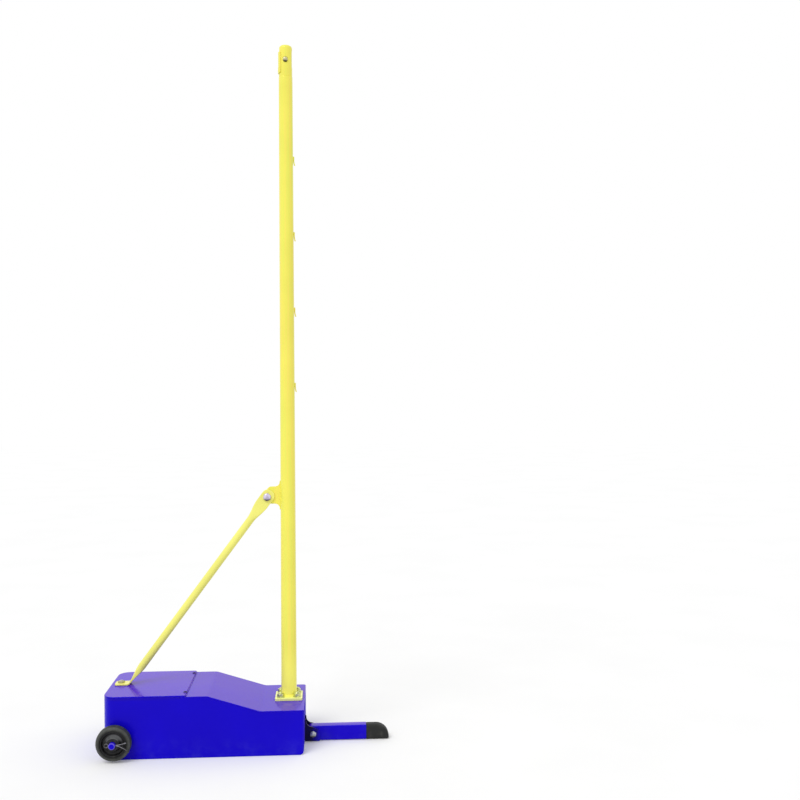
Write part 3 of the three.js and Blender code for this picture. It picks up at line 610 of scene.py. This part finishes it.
def bolt(axis, size, seat, direction, grip, at, turn=0.0):
    # Rows run from the head's top over its chamfered hexagon to the seat and down the shank,
    # whose last stretch carries a helical thread
    f = fastener
    corner, chamfer = cornerOf(size)
    sag = f["crown"] * size["head"]
    t = np.linspace(f["crownStart"], 1, f["crownRows"])
    headRows = list(zip((corner - chamfer) * t, size["head"] - sag * t ** 2))
    t = np.linspace(0, 1, f["chamferRows"])[1:] * np.pi / 2
    fall = f["chamferFall"] * chamfer * (1 - np.cos(t))
    headRows += list(zip(corner - chamfer + chamfer * np.sin(t), size["head"] - sag - fall))
    headRows += [(corner + out, up) for out, up in f["rim"]]
    headRows += [(size["flats"] * f["headFace"], 0.0)]
    smoothed = max(f["smoothLeast"], grip - f["threadLength"])
    down = np.arange(smoothed, grip, size["pitch"] / f["threadSteps"])
    shankRows = [(size["radius"], -t) for t in (0.0, *down)]
    rows = np.array(headRows + shankRows + [(size["radius"] * f["tip"], -grip)])
    radius, place, index = rows[:, :1], rows[:, 1:], np.arange(len(rows))[:, None]
    angle = around(f["sides"]) + turn
    hexagon = np.minimum(radius, hexReach(angle - turn, size["flats"]))
    rim = np.where(index < len(headRows), hexagon, radius)
    phase = (place / size["pitch"] + direction * angle / (2 * np.pi)) % 1
    groove = size["pitch"] * f["threadDepth"] * (1 - np.abs(2 * phase - 1))
    nearEnd = np.clip((grip + place) / ((1 - f["tip"]) * size["radius"]), 0, 1)
    cone = size["radius"] * (f["tip"] + (1 - f["tip"]) * nearEnd)
    rim = np.where(index > len(headRows), np.minimum(rim - groove, cone), rim)
    return surface(alongAxis(axis, rim, angle, seat + direction * place, at))


def nut(axis, size, seat, direction, at, turn=0.0):
    # One closed band: up the hexagon's outside with a chamfer at both ends, down the bore
    f = fastener
    corner, chamfer = cornerOf(size)
    half, height = chamfer / 2, size["nut"]
    bore = size["radius"] + f["gap"]
    t = np.linspace(0, 1, f["nutRows"])
    rows = [(bore + f["tap"], 0.0), (size["flats"] * f["nutFace"], 0.0)]
    rows += list(zip(corner - half + half * t, half * t))
    rows += list(zip(corner - chamfer * t, height - chamfer + chamfer * t))
    rows += [(bore + f["tap"], height), (bore, height - f["tap"]), (bore, f["tap"])]
    rows = np.array(rows)
    angle = around(f["sides"]) + turn
    rim = np.minimum(rows[:, :1], hexReach(angle - turn, size["flats"]))
    return surface(alongAxis(axis, rim, angle, seat + direction * rows[:, 1:], at), True)


def band(inner, outer, low, high):
    return [(inner, low), (outer, low), (outer, high), (inner, high)]


def washer(axis, size, seat, direction, at):
    f = fastener
    outline = band(size["radius"] + f["gap"], size["flats"] / 2 + f["washer"],
                   seat, seat + direction * f["washer"])
    return turned(axis, softened(outline, f["washerEdges"]), at, f["washerSides"])


def shadedBelow(made, at, reach, behind=None):
    # Keeps with the mesh how far each point lies below an axis, or behind it, for the painted
    # shade
    x, _, z = pointsOf(made.data).T / milli
    low = (at[2] - z) / reach
    if behind:
        low = np.maximum(low, (at[0] - x) / behind)
    low = np.clip(low, 0, 1)
    made.data.attributes.new("low", "FLOAT", "POINT").data.foreach_set("value", low)


weld = {
    "sides": 14, "spacing": 0.25,
    "pass": 1.9,  # length of one pass of the arc
    "lean": 0.18,  # of a pass, how far its ripple leans round the bead
    "least": 0.9, "swell": 0.16, "endReach": 1.3,  # of the radius
    "endLeast": 0.02,
}


def bead(name, path, binormal, radius, material, loopAlong=False):
    # A weld bead: a round string whose radius swells once for each pass of the arc
    w = weld
    steps = np.linalg.norm(np.diff(path, axis=0), axis=1)
    s = np.concatenate([[0], np.cumsum(steps)])
    leaning = s[:, None] / w["pass"] + w["lean"] * np.cos(around(w["sides"]))
    ripple = w["least"] + w["swell"] * np.abs(np.sin(np.pi * leaning))
    ends = 1.0
    if not loopAlong:
        near = np.clip(np.minimum(s, s[-1] - s) / (w["endReach"] * radius), 0, 1)
        ends = np.sqrt(np.clip(1 - (1 - near) ** 2, w["endLeast"], 1))[:, None]
    string = swept(path, binormal, radius * ripple * ends, w["sides"], loopAlong)
    return piece(name, string, material, sharp=60)


def line(start, end, spacing=weld["spacing"]):
    start, end = np.array([start, end], float)
    count = int(np.linalg.norm(end - start) / spacing) + 2
    return start + (end - start) * np.linspace(0, 1, count)[:, None]


def beadPair(name, places, values, material):
    # A bead on each side of the middle plane, between two places given by x and z
    spacing = values.get("weldSpacing", weld["spacing"])
    for side, y in bothSides:
        ends = [(x, y * values["weldSide"], z) for x, z in places]
        bead(name + "_" + side, line(*ends, spacing), (1, 0, 0), values["weldSize"], material)


box = {
    "half": 100, "deckTop": 96, "coverTop": 134, "sheet": 3, "edge": 0.5,
    "screwX": -219.5, "screwY": 76,
    # Paint run into the cover's front: the middle of the run, and its radius
    "seamX": -216.475, "seamUp": 0.3, "seamHalf": 97.5, "seamFill": 1.5, "seamSpacing": 0.6,
}
b = box
dressed("base_shell", shellPaint, b["edge"])
dressed("front_deck", bluePaint)
dressed("rear_cover", bluePaint)
x, z = b["seamX"], b["coverTop"] - b["sheet"] + b["seamUp"]
bead("seam_paint", line((x, -b["seamHalf"], z), (x, b["seamHalf"], z), b["seamSpacing"]),
     (0, 0, 1), b["seamFill"], bluePaint)

screw = {
    "radius": 4.0, "shank": 2.5, "length": 9.0, "rise": 2.6, "rows": 30, "sides": 96,
    "start": 0.06,
    "dome": 0.85,  # of the rise, the part that falls with the radius's fourth power
    "slotHalf": 0.55, "slotReach": 2.3, "slotDepth": 1.5,
    "slotWall": 1.6, "slotEnd": 1.1, "slotEndSteep": 4,
}


def coverScrew(x, y):
    # Pan head with a cross recess: it falls with the fourth power of the radius and evenly
    # besides, and sinks where the point lies within the cross's arms
    s, top = screw, box["coverTop"]
    t = np.linspace(s["start"], 1, s["rows"])[:, None]
    angle = around(s["sides"])
    side, up = s["radius"] * t * np.cos(angle), s["radius"] * t * np.sin(angle)
    arm = np.minimum(np.abs(side), np.abs(up)) / s["slotHalf"]
    reach = np.maximum(np.abs(side), np.abs(up)) / s["slotReach"]
    sunk = (np.clip(s["slotWall"] - arm, 0, 1)
            * np.clip((s["slotEnd"] - reach) * s["slotEndSteep"], 0, 1))
    height = s["rise"] * ((1 - t ** 4) ** 0.5 * s["dome"] + (1 - s["dome"]) * (1 - t))
    head = np.stack([x + side, y + up, top + height - sunk * s["slotDepth"]], -1)
    under = alongAxis("z", np.full((2, 1), s["shank"]), angle,
                      np.array([[top], [top - s["length"]]]), (x, y, 0))
    return surface(np.concatenate([head, under]))


for side, y in bothSides:
    skin("cover_screw_" + side, coverScrew(b["screwX"], y * b["screwY"]), dullSteel)
for name in [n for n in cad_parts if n.startswith("counterweight")]:
    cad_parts[name].data.materials[0] = castIron
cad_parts["axle_tube"].data.materials[0] = blueBar
print("stage: box made")


wheel = {
    "axleRadius": 7, "axleHalf": 137.6, "gap": 0.3, "sides": 128,
    "hubInner": 102.3, "hubOuter": 126.3, "hubHalf": 12.0, "hubRadius": 14, "bushOuter": 9.5,
    "radius": 37, "rim": 27.5, "width": 22, "rimWidth": 20, "rimWall": 2.6, "disc": 6,
    "hubDraft": 1.5, "wellDraft": 1.6, "fillets": (0.4, 1.2, 4.6, 2.6, 0.9, 0.5),
    "filletRows": 8, "shoulder": 7, "shoulderRows": 14,
    # The tyre's raised ring, out from the rim and from the sidewall, and its parting ridge
    "ring": ((0, -0.8), (0.5, -0.1), (0.9, 0.45), (1.7, 0.55), (2.2, 0.25), (2.35, 0)),
    "ridge": ((-0.02, 0.6), (0, 0.2)),
    "spacer": 12, "spacerThickness": 2,
    "pinY": 130.6, "pinWire": 1.0, "pinSides": 14, "pinEye": 3.9, "pinEyeOut": 1.2,
    "pinApart": 0.7,  # from the pin's middle to the wire's, in the axle
    "pinPinch": 0.3,  # the same at the middle of a leg's curve
    "pinLegs": ((22, 5, 1), (28, -15, -1)),  # reach, height of the end, and which side
    "pinEyeRows": 60, "pinLegRows": 24, "pinRunRows": 14,
    "axleFlat": 0.4,  # of the end face's radius, where its first row lies
    "axleCrown": 5.5, "axleSides": 64,
    # Rows of the rounded end, out from that face's edge and along from the end
    "axleEdge": ((0, 0.0), (0.35, 0.1), (1.4, 1.2), (1.5, 1.7)),
    "shadeLow": 17, "shadeBehind": 26,
}


def wheelTyre(at):
    # Round-shouldered band with a raised ring on each sidewall and a fine parting ridge
    w = wheel
    half, shoulder = w["width"] / 2, w["shoulder"]
    arc = np.linspace(np.pi / 2, 0, w["shoulderRows"])
    rounded = np.stack([w["radius"] - shoulder + shoulder * np.cos(arc),
                        half - shoulder + shoulder * np.sin(arc)], -1)
    ring = np.array(w["ring"]) + [w["rim"], half]
    ridge = np.array(w["ridge"]) + [w["radius"], 0]
    upper = np.concatenate([ring, rounded, ridge])
    lower = upper[::-1] * [1, -1]
    return turned("y", np.concatenate([upper, lower]), at, w["sides"])


def wheelRim(at):
    # Outline of barrel, disc and hub with filleted corners, turned about the axle
    w = wheel
    disc, barrel = w["disc"] / 2, w["rim"] - w["gap"]
    well = barrel - w["rimWall"]
    upper = [(w["bushOuter"], w["hubHalf"]), (w["hubRadius"], w["hubHalf"]),
             (w["hubRadius"] + w["hubDraft"], disc), (well - w["wellDraft"], disc),
             (well, w["rimWidth"] / 2), (barrel, w["rimWidth"] / 2)]
    outline = upper + [(r, -y) for r, y in upper[::-1]]
    radii = w["fillets"] + w["fillets"][::-1]
    return turned("y", softened(outline, radii, w["filletRows"]), at, w["sides"])


def splitPin(at):
    # One wire: leg, straight run through the axle, eye, straight run back, other leg
    w = wheel
    hole, apart, ring = w["axleRadius"], w["pinApart"], w["pinEye"]
    eyeX = -(hole + w["gap"] + ring + w["pinEyeOut"])
    opening = math.asin(apart / ring)
    turn = np.linspace(opening, 2 * np.pi - opening, w["pinEyeRows"])
    eye = np.stack([eyeX + ring * np.cos(turn), ring * np.sin(turn)], -1)

    def leg(reach, height, side):
        t = np.linspace(0, 1, w["pinLegRows"])[:, None]
        start = np.array([hole, side * apart])
        middle = np.array([hole + reach / 3, side * w["pinPinch"]])
        end = np.array([hole + reach, height])
        return (1 - t) ** 2 * start + 2 * t * (1 - t) * middle + t ** 2 * end

    first, second = [leg(*each) for each in w["pinLegs"]]
    runs = np.linspace(hole, eye[0, 0], w["pinRunRows"])[1:-1]
    out = np.stack([runs, 0 * runs + apart], -1)
    back = out[::-1] * [1, -1]
    flat = np.concatenate([first[::-1], out, eye, back, second])
    path = np.stack([at[0] + flat[:, 0], np.full(len(flat), at[1]), at[2] + flat[:, 1]], -1)
    return swept(path, (0, 1, 0), w["pinWire"], w["pinSides"])


w = wheel
for side, y in bothSides:
    hub = (axleAt[0], y * (w["hubInner"] + w["hubOuter"]) / 2, axleAt[2])
    body = "wheel_" + side
    skin("tyre_" + side, wheelTyre(hub), tyreRubber, body)
    skin("wheel_rim_" + side, wheelRim(hub), dishPlastic, body, 30)
    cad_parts["wheel_bush_" + side].data.materials[0] = nylonPlastic
    for kind, start in (("spacer", box["half"]), ("washer", w["hubOuter"] + w["gap"])):
        ends = sorted([y * start, y * (start + w["spacerThickness"])])
        outline = band(w["axleRadius"] + w["gap"], w["spacer"], *ends)
        skin("wheel_" + kind + "_" + side,
             turned("y", softened(outline, fastener["sleeveEdge"]), axleAt), hubSteel)
    made = skin("split_pin_" + side, splitPin((axleAt[0], y * w["pinY"], axleAt[2])), wireSteel)
    # Painted shade on the pin's lower and rear parts
    shadedBelow(made, axleAt, w["shadeLow"], w["shadeBehind"])
ends = [(w["axleCrown"] * w["axleFlat"], 0.0)]
ends += [(w["axleCrown"] + out, down) for out, down in w["axleEdge"]]
profile = [(r, -w["axleHalf"] + t) for r, t in ends]
profile += [(r, w["axleHalf"] - t) for r, t in ends[::-1]]
skin("axle", turned("y", profile, axleAt, w["axleSides"], False), axlePaint)
print("stage: wheels made")


post = {
    "foot": 102, "footRadius": 17.3, "top": 1480, "topRadius": 15.3, "wall": 2, "lip": 0.5,
    "lipIn": 0.15, "lipDown": 0.12, "rows": 60, "sides": 128, "headRound": 0.5,
    "nutTurns": (0.3, 1.1, 0.7, 0.1), "footWeld": (18.3, 103.0), "footWeldSize": 1.9,
    "footWeldSteps": 480, "pulleyZ": 1516, "pulleyShade": 4, "boltSeatY": 13.3,
    "guardEdge": 44.5, "guardWeld": 15.7, "guardSpan": (1489, 1533), "guardWeldSize": 1.3,
    "guardRound": 0.4, "pulleyRound": 0.3,
}


def tubeRadiusAt(z):
    p = post
    share = (z - p["foot"]) / (p["top"] - p["foot"])
    return p["footRadius"] + (p["topRadius"] - p["footRadius"]) * share


def postTube():
    # Tapered wall: outside radius falls evenly with height, and the top has a small round lip
    p = post
    levels = np.linspace(p["foot"], p["top"] - p["lip"], p["rows"])
    outside = np.stack([tubeRadiusAt(levels), levels], -1)
    rest = [(p["topRadius"] - p["lipIn"], p["top"] - p["lipDown"]),
            (p["topRadius"] - p["lip"], p["top"]), (p["topRadius"] - p["wall"], p["top"]),
            (p["footRadius"] - p["wall"], p["foot"])]
    return turned("z", np.concatenate([outside, rest]), sides=p["sides"])


def boltPair(name, axis, size, seats, direction, at, material, turns=(0, 0), underShade=(0, 0)):
    # A bolt that bears on the first seat and the nut that bears on the second
    grip = abs(seats[1] - seats[0]) + size["nut"] + fastener["boltEnd"]
    shapes = {"bolt": bolt(axis, size, seats[0], direction, grip, at, turns[0]),
              "nut": nut(axis, size, seats[1], -direction, at, turns[1])}
    for (kind, shape), reach in zip(shapes.items(), underShade):
        made = skin(name + "_" + kind, shape, material)
        # Painted shade on the lower side of the bolt and the nut
        if reach:
            shadedBelow(made, at, reach)


p = post
skin("post_tube", postTube(), yellowPaint)
dressed("post_flange", flangeLitYellow)
dressed("post_head", yellowPaint, p["headRound"], sharp=34)
dressed("pulley_guard", yellowPaint, p["guardRound"])
dressed("net_pulley", nylonPlastic, p["pulleyRound"], body="pulley")
for i, turn in enumerate(p["nutTurns"]):
    n = str(i + 1)
    low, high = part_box("flange_bolt_" + n)
    centre = (low + high) / 2 / milli
    at, under = (centre.x, centre.y, 0), b["deckTop"] - b["sheet"]
    nutSeat = p["foot"] + fastener["washer"]
    grip = nutSeat - under + m8["nut"] + fastener["boltEnd"]
    skin("flange_bolt_" + n, bolt("z", m8, under, -1, grip, at), flangeSteel)
    skin("flange_washer_" + n, washer("z", m8, p["foot"], 1, at), flangeSteel)
    skin("flange_nut_" + n, nut("z", m8, nutSeat, 1, at, turn), flangeSteel)
boltPair("pulley", "y", m6, (-p["boltSeatY"], p["boltSeatY"]), -1, (0, 0, p["pulleyZ"]), nutSteel,
         underShade=(p["pulleyShade"],) * 2)
for side, y in bothSides:
    edge = np.pi - y * math.radians(p["guardEdge"])
    out = (math.cos(edge), math.sin(edge), 0)
    ends = [(p["guardWeld"] * out[0], p["guardWeld"] * out[1], z) for z in p["guardSpan"]]
    bead("weld_guard_" + side, line(*ends), out, p["guardWeldSize"], yellowPaint)
radius, z = p["footWeld"]
bead("weld_tube_foot", alongAxis("z", radius, around(p["footWeldSteps"]), z)[0], (0, 0, 1),
     p["footWeldSize"], yellowPaint, loopAlong=True)

hook = {
    "count": 4, "lowest": 790, "pitch": 168, "radius": 1.3, "length": 21, "gap": 0.1,
    "splay": 2.4, "straight": 0.42,  # how far the end stands off, share that is straight
    "rows": 24, "sides": 20,
    "weldOut": 0.5, "weldSide": 1.1, "weldSpan": (2, 9.5), "weldSpacing": 0.2, "weldSize": 0.7,
}


def netHook(z):
    # A rod bowed outwards below its weld: the offset grows with the square of the distance
    h = hook
    s, share = domedEnds(h["length"], h["radius"], h["rows"])
    down = s / h["length"]
    bow = np.clip(down - h["straight"], 0, 1) / (1 - h["straight"])
    path = np.stack([tubeRadiusAt(z) + h["gap"] + h["radius"] + h["splay"] * bow ** 2, 0 * s,
                     z + h["length"] * (0.5 - down)], -1)
    return swept(path, (0, 1, 0), h["radius"] * share[:, None], h["sides"])


h = hook
for i in range(h["count"]):
    z = h["lowest"] + i * h["pitch"]
    n = str(i + 1)
    skin("net_hook_" + n, netHook(z), yellowPaint)
    x = tubeRadiusAt(z) + h["weldOut"]
    beadPair("weld_hook_" + n, [(x, z + up) for up in h["weldSpan"]], h, yellowPaint)
print("stage: post made")


brace = {
    "bolt": (-46, 546), "foot": (-369.5, 0), "y": -4.6, "radius": 8.4, "flat": 3.6,
    "flatWidth": 29, "tail": -382, "knee": -352, "bend": 9, "taper": 44, "end": 17,
    "endCorner": 14, "tailCorner": 5, "squareFlat": 8, "squareRound": 2, "sides": 64,
    "tailRows": 14, "bendRows": 16, "taperRows": 25, "roundRows": 30, "flatRows": 8,
    "lugReach": 11, "lugBelow": 15.5, "lugThickness": 5, "lugEdge": 0.6,
    "weldSide": 3.4, "weldOut": 0.2, "weldSpan": (517.5, 582), "weldSize": 1.5,
    "topTurns": (0.35, 0.5), "footTurns": (0.2, 0), "topShade": (8, 9),
}


def eased(value, low, high):
    t = np.clip((value - low) / (high - low), 0, 1)
    return t * t * (3 - 2 * t)


def braceStrut():
    # A superellipse carried from the tail over the bend to the eye; its half sizes and its
    # squareness pass smoothly from flat to round and back to flat, a quarter turn round
    b = brace
    footZ = box["coverTop"] + b["flat"] / 2
    knee, eye = np.array([b["knee"], footZ]), np.array(b["bolt"], float)
    toEye = unit(eye - knee)
    rise = math.atan2(toEye[1], toEye[0])
    bendStart = knee[0] - b["bend"] * math.tan(rise / 2)
    quarter = np.linspace(0, np.pi / 2, b["tailRows"])
    tailX = b["tail"] + (bendStart - b["tail"]) * (1 - np.cos(quarter))
    bendTurn = np.linspace(0, rise, b["bendRows"])[1:]
    bendPath = np.stack([bendStart + b["bend"] * np.sin(bendTurn),
                         footZ + b["bend"] * (1 - np.cos(bendTurn))], -1)
    start = bendPath[-1]
    run = np.linalg.norm(eye - start) + b["end"]
    taper, corner = b["taper"], b["endCorner"]
    topTaper = run - b["end"] - math.hypot(b["lugReach"], b["lugBelow"]) - taper
    stops = [0, taper, topTaper, topTaper + taper, run - corner]
    counts = [b["taperRows"], b["roundRows"], b["taperRows"], b["flatRows"]]
    s = np.concatenate([np.linspace(*each)[1:] for each in zip(stops, stops[1:], counts)]
                       + [run - corner * np.cos(quarter)[1:]])
    path = np.concatenate([np.stack([tailX, 0 * tailX + footZ], -1), bendPath,
                           start + s[:, None] * toEye])
    turn = np.concatenate([0 * tailX, bendTurn, 0 * s + rise])
    s = np.concatenate([np.zeros(len(path) - len(s)), s])
    opened, shut = eased(s, 0, taper), eased(s, topTaper, topTaper + taper)

    def mix(foot, middle, top):
        first = foot + (middle - foot) * opened
        return first + (top - first) * shut

    half = b["flatWidth"] / 2
    thick = mix(b["flat"] / 2, b["radius"], half) - roundedBy(corner, run - s) * shut
    across = (mix(half, b["radius"], b["flat"] / 2)
              - roundedBy(b["tailCorner"], path[:, 0] - b["tail"]))
    middle = b["y"] * np.clip(s / topTaper, 0, 1)
    squareness = mix(b["squareFlat"], b["squareRound"], b["squareFlat"])[:, None]
    angle = around(b["sides"])

    def power(value):
        return np.sign(value) * np.abs(value) ** (2 / squareness)

    n = thick[:, None] * power(np.sin(angle))
    grid = np.stack([path[:, :1] - n * np.sin(turn)[:, None],
                     middle[:, None] + across[:, None] * power(np.cos(angle)),
                     path[:, 1:2] + n * np.cos(turn)[:, None]], -1)
    return surface(grid)


b = brace
skin("brace_strut", braceStrut(), fadedYellow, sharp=50)
dressed("brace_lug", yellowPaint, b["lugEdge"])
boltPair("brace_top", "y", m10, (b["y"] - b["flat"] / 2, b["lugThickness"] / 2), -1,
         (b["bolt"][0], 0, b["bolt"][1]), brightSteel, b["topTurns"], b["topShade"])
boltPair("brace_foot", "z", m8, (box["coverTop"] + b["flat"], box["coverTop"] - box["sheet"]), 1,
         (*b["foot"], 0), nutSteel, b["footTurns"])
ends = [(-(tubeRadiusAt(z) + b["weldOut"]), z) for z in b["weldSpan"]]
beadPair("weld_lug", ends, b, yellowPaint)
print("stage: brace made")


arm = {
    "pivot": (53.5, 0, 17), "earOuter": 17, "end": 172, "tip": 223, "low": 1, "high": 33,
    "half": 12.5, "edge": 2.5, "wall": 2, "gap": 0.3, "turns": (0.4, 0),
    "underShade": (6, 0), "earEdge": 0.7, "tubeEdge": 0.4,
    "weldX": 35.6, "weldSide": 17.7, "weldSpan": (3, 48), "weldSize": 1.5,
    "plug": 24, "plugChamfer": 0.6, "plugEdge": 1.5, "lip": 0.7, "lipRows": 5, "blockRows": 40,
    "blockStart": 0.9, "tipGap": 0.2, "toeLift": 1.2, "noseRadius": 29,
    "sideCorner": 6, "sides": 96,
    "cornerMost": 0.98, "squareness": 9,  # of a foot section's corners and its straight sides
}
a = arm
for side in ("near", "far"):
    dressed("arm_ear_" + side, greasyShadedBlue, a["earEdge"])
dressed("arm_tube", blueBar, a["tubeEdge"], body="arm")
boltPair("arm", "y", m8, (-a["earOuter"], a["earOuter"]), -1, a["pivot"], zincSteel, a["turns"],
         a["underShade"])
beadPair("weld_ear", [(a["weldX"], z) for z in a["weldSpan"]], a, greasyShadedBlue)


def footSection(x, low, high, half, corner):
    # Rounded rectangle across the arm: straight sides joined by quarter circles
    angle = around(arm["sides"])
    c, s = np.cos(angle), np.sin(angle)
    middle, tall = (low + high) / 2, (high - low) / 2
    corner = np.minimum(corner, np.minimum(tall, half) * arm["cornerMost"])
    power = 2 / arm["squareness"]
    y = np.sign(c) * ((half - corner) * np.abs(c) ** power) + corner * c
    z = np.sign(s) * ((tall - corner) * np.abs(s) ** power) + corner * s
    return np.stack([x + 0 * y, y, middle + z], -1)


def armFoot():
    # Plug inside the tube, then a block with a round lip, whose top falls along a quarter
    # circle to a thin toe
    a = arm
    back, start = a["end"] + a["gap"], a["end"] - a["plug"]
    inset = a["wall"] + a["gap"] + np.array([[a["plugChamfer"]], [0], [0]])
    plug = footSection(np.array([[start], [start + a["plugChamfer"]], [back]]),
                       a["low"] + inset, a["high"] - inset, a["half"] - inset, a["plugEdge"])
    t = np.linspace(np.pi / 2, 0, a["lipRows"])[:, None]
    inset = a["lip"] * (1 - np.cos(t))
    lip = footSection(back + a["lip"] * (1 - np.sin(t)), inset, a["high"] - inset,
                      a["half"] - inset, a["edge"])
    t = np.sin(np.linspace(0, np.pi / 2, a["blockRows"]))[:, None]
    first = back + a["blockStart"]
    x = first + (a["tip"] - a["tipGap"] - first) * t
    left = a["tip"] - x
    low = a["toeLift"] * np.clip(1 - left / a["sideCorner"], 0, 1) ** 3
    block = footSection(x, low, a["high"] - roundedBy(a["noseRadius"], left),
                        a["half"] - roundedBy(a["sideCorner"], left), a["edge"])
    return surface(np.concatenate([plug, lip, block]))


skin("arm_foot", armFoot(), footRubber, "arm", 40)
print("stage: arm made")


view = {"place": (0.0920, -2.3576, 0.7865), "yawPitchRoll": (0.0678, -0.0110, 0.0045),
        "focal": 1050.1, "frame": 800, "sensor": 36.0}
yaw, pitch, roll = view["yawPitchRoll"]
forward = Vector((math.sin(yaw) * math.cos(pitch), math.cos(yaw) * math.cos(pitch),
                  math.sin(pitch)))
right = Vector((math.cos(yaw), -math.sin(yaw), 0))
up = right.cross(forward)
right, up = (right * math.cos(roll) - up * math.sin(roll),
             right * math.sin(roll) + up * math.cos(roll))
cameraData = bpy.data.cameras.new("camera")
cameraData.sensor_width = view["sensor"]
cameraData.lens = view["focal"] / view["frame"] * view["sensor"]
camera = linked("camera", cameraData)
turning = Matrix((right, up, -forward)).transposed().to_4x4()
camera.matrix_world = Matrix.Translation(view["place"]) @ turning
scene.camera = camera

light = {
    "world": 0.8, "background": 1.0, "key": 1.2, "keyAngle": 0.55,
    "keyFrom": (-0.37, -0.53, 0.77),
    "floor": (0.8, 0.8, 0.8), "floorRoughness": 0.9, "floorLift": 0.126, "floorHalf": 12.0,
    "floorDrop": 0.0004, "grainNoise": (3.0,), "grainSpan": (0.3, 0.7), "grainMottle": 0.01,
}
world = bpy.data.worlds.new("studio")
scene.world = world
world.use_nodes = True
tree = world.node_tree
tree.nodes.clear()


def seenShare(tree):
    # One for rays that carry the background: seen, mirrored or passed through glass
    seen, mirrored, passed = [Field(tree, "LightPath", "Is " + kind + " Ray")
                              for kind in ("Camera", "Glossy", "Transmission")]
    return seen.maths("MAXIMUM", mirrored).maths("MAXIMUM", passed)


strength = seenShare(tree).between(0, 1, light["world"], light["background"])
sky = Field(tree, "Background", 0, {"Color": (1, 1, 1, 1), "Strength": strength})
addNode(tree, "OutputWorld", {"Surface": sky})

keyData = bpy.data.lights.new("key", "SUN")
keyData.energy = light["key"]
keyData.angle = light["keyAngle"]
key = linked("key", keyData)
key.rotation_mode = "QUATERNION"
key.rotation_quaternion = (-Vector(light["keyFrom"])).to_track_quat("-Z", "Y")

look = Look("pale floor", None, light, light["floor"], light["floorRoughness"])
look.tone = shade(light["floor"], 1 - light["grainMottle"])
look.tint(look.mask("grain"), "floor", 1 + light["grainMottle"])
glow = seenShare(look.tree).between(0, 1, 0, light["floorLift"])
feed(look.tree, look.shader, {"Base Color": look.tone, "Specular IOR Level": 0.0,
                              "Emission Color": (1, 1, 1, 1), "Emission Strength": glow})
half, z = light["floorHalf"], -light["floorDrop"]
floorMesh = bpy.data.meshes.new("floor")
floorMesh.from_pydata([(-half, -half, z), (half, -half, z), (half, half, z), (-half, half, z)],
                      [], [(0, 1, 2, 3)])
floorMesh.materials.append(look.material)
linked("floor", floorMesh)
scene.view_settings.view_transform = "Standard"
print("stage: camera, floor and light made")
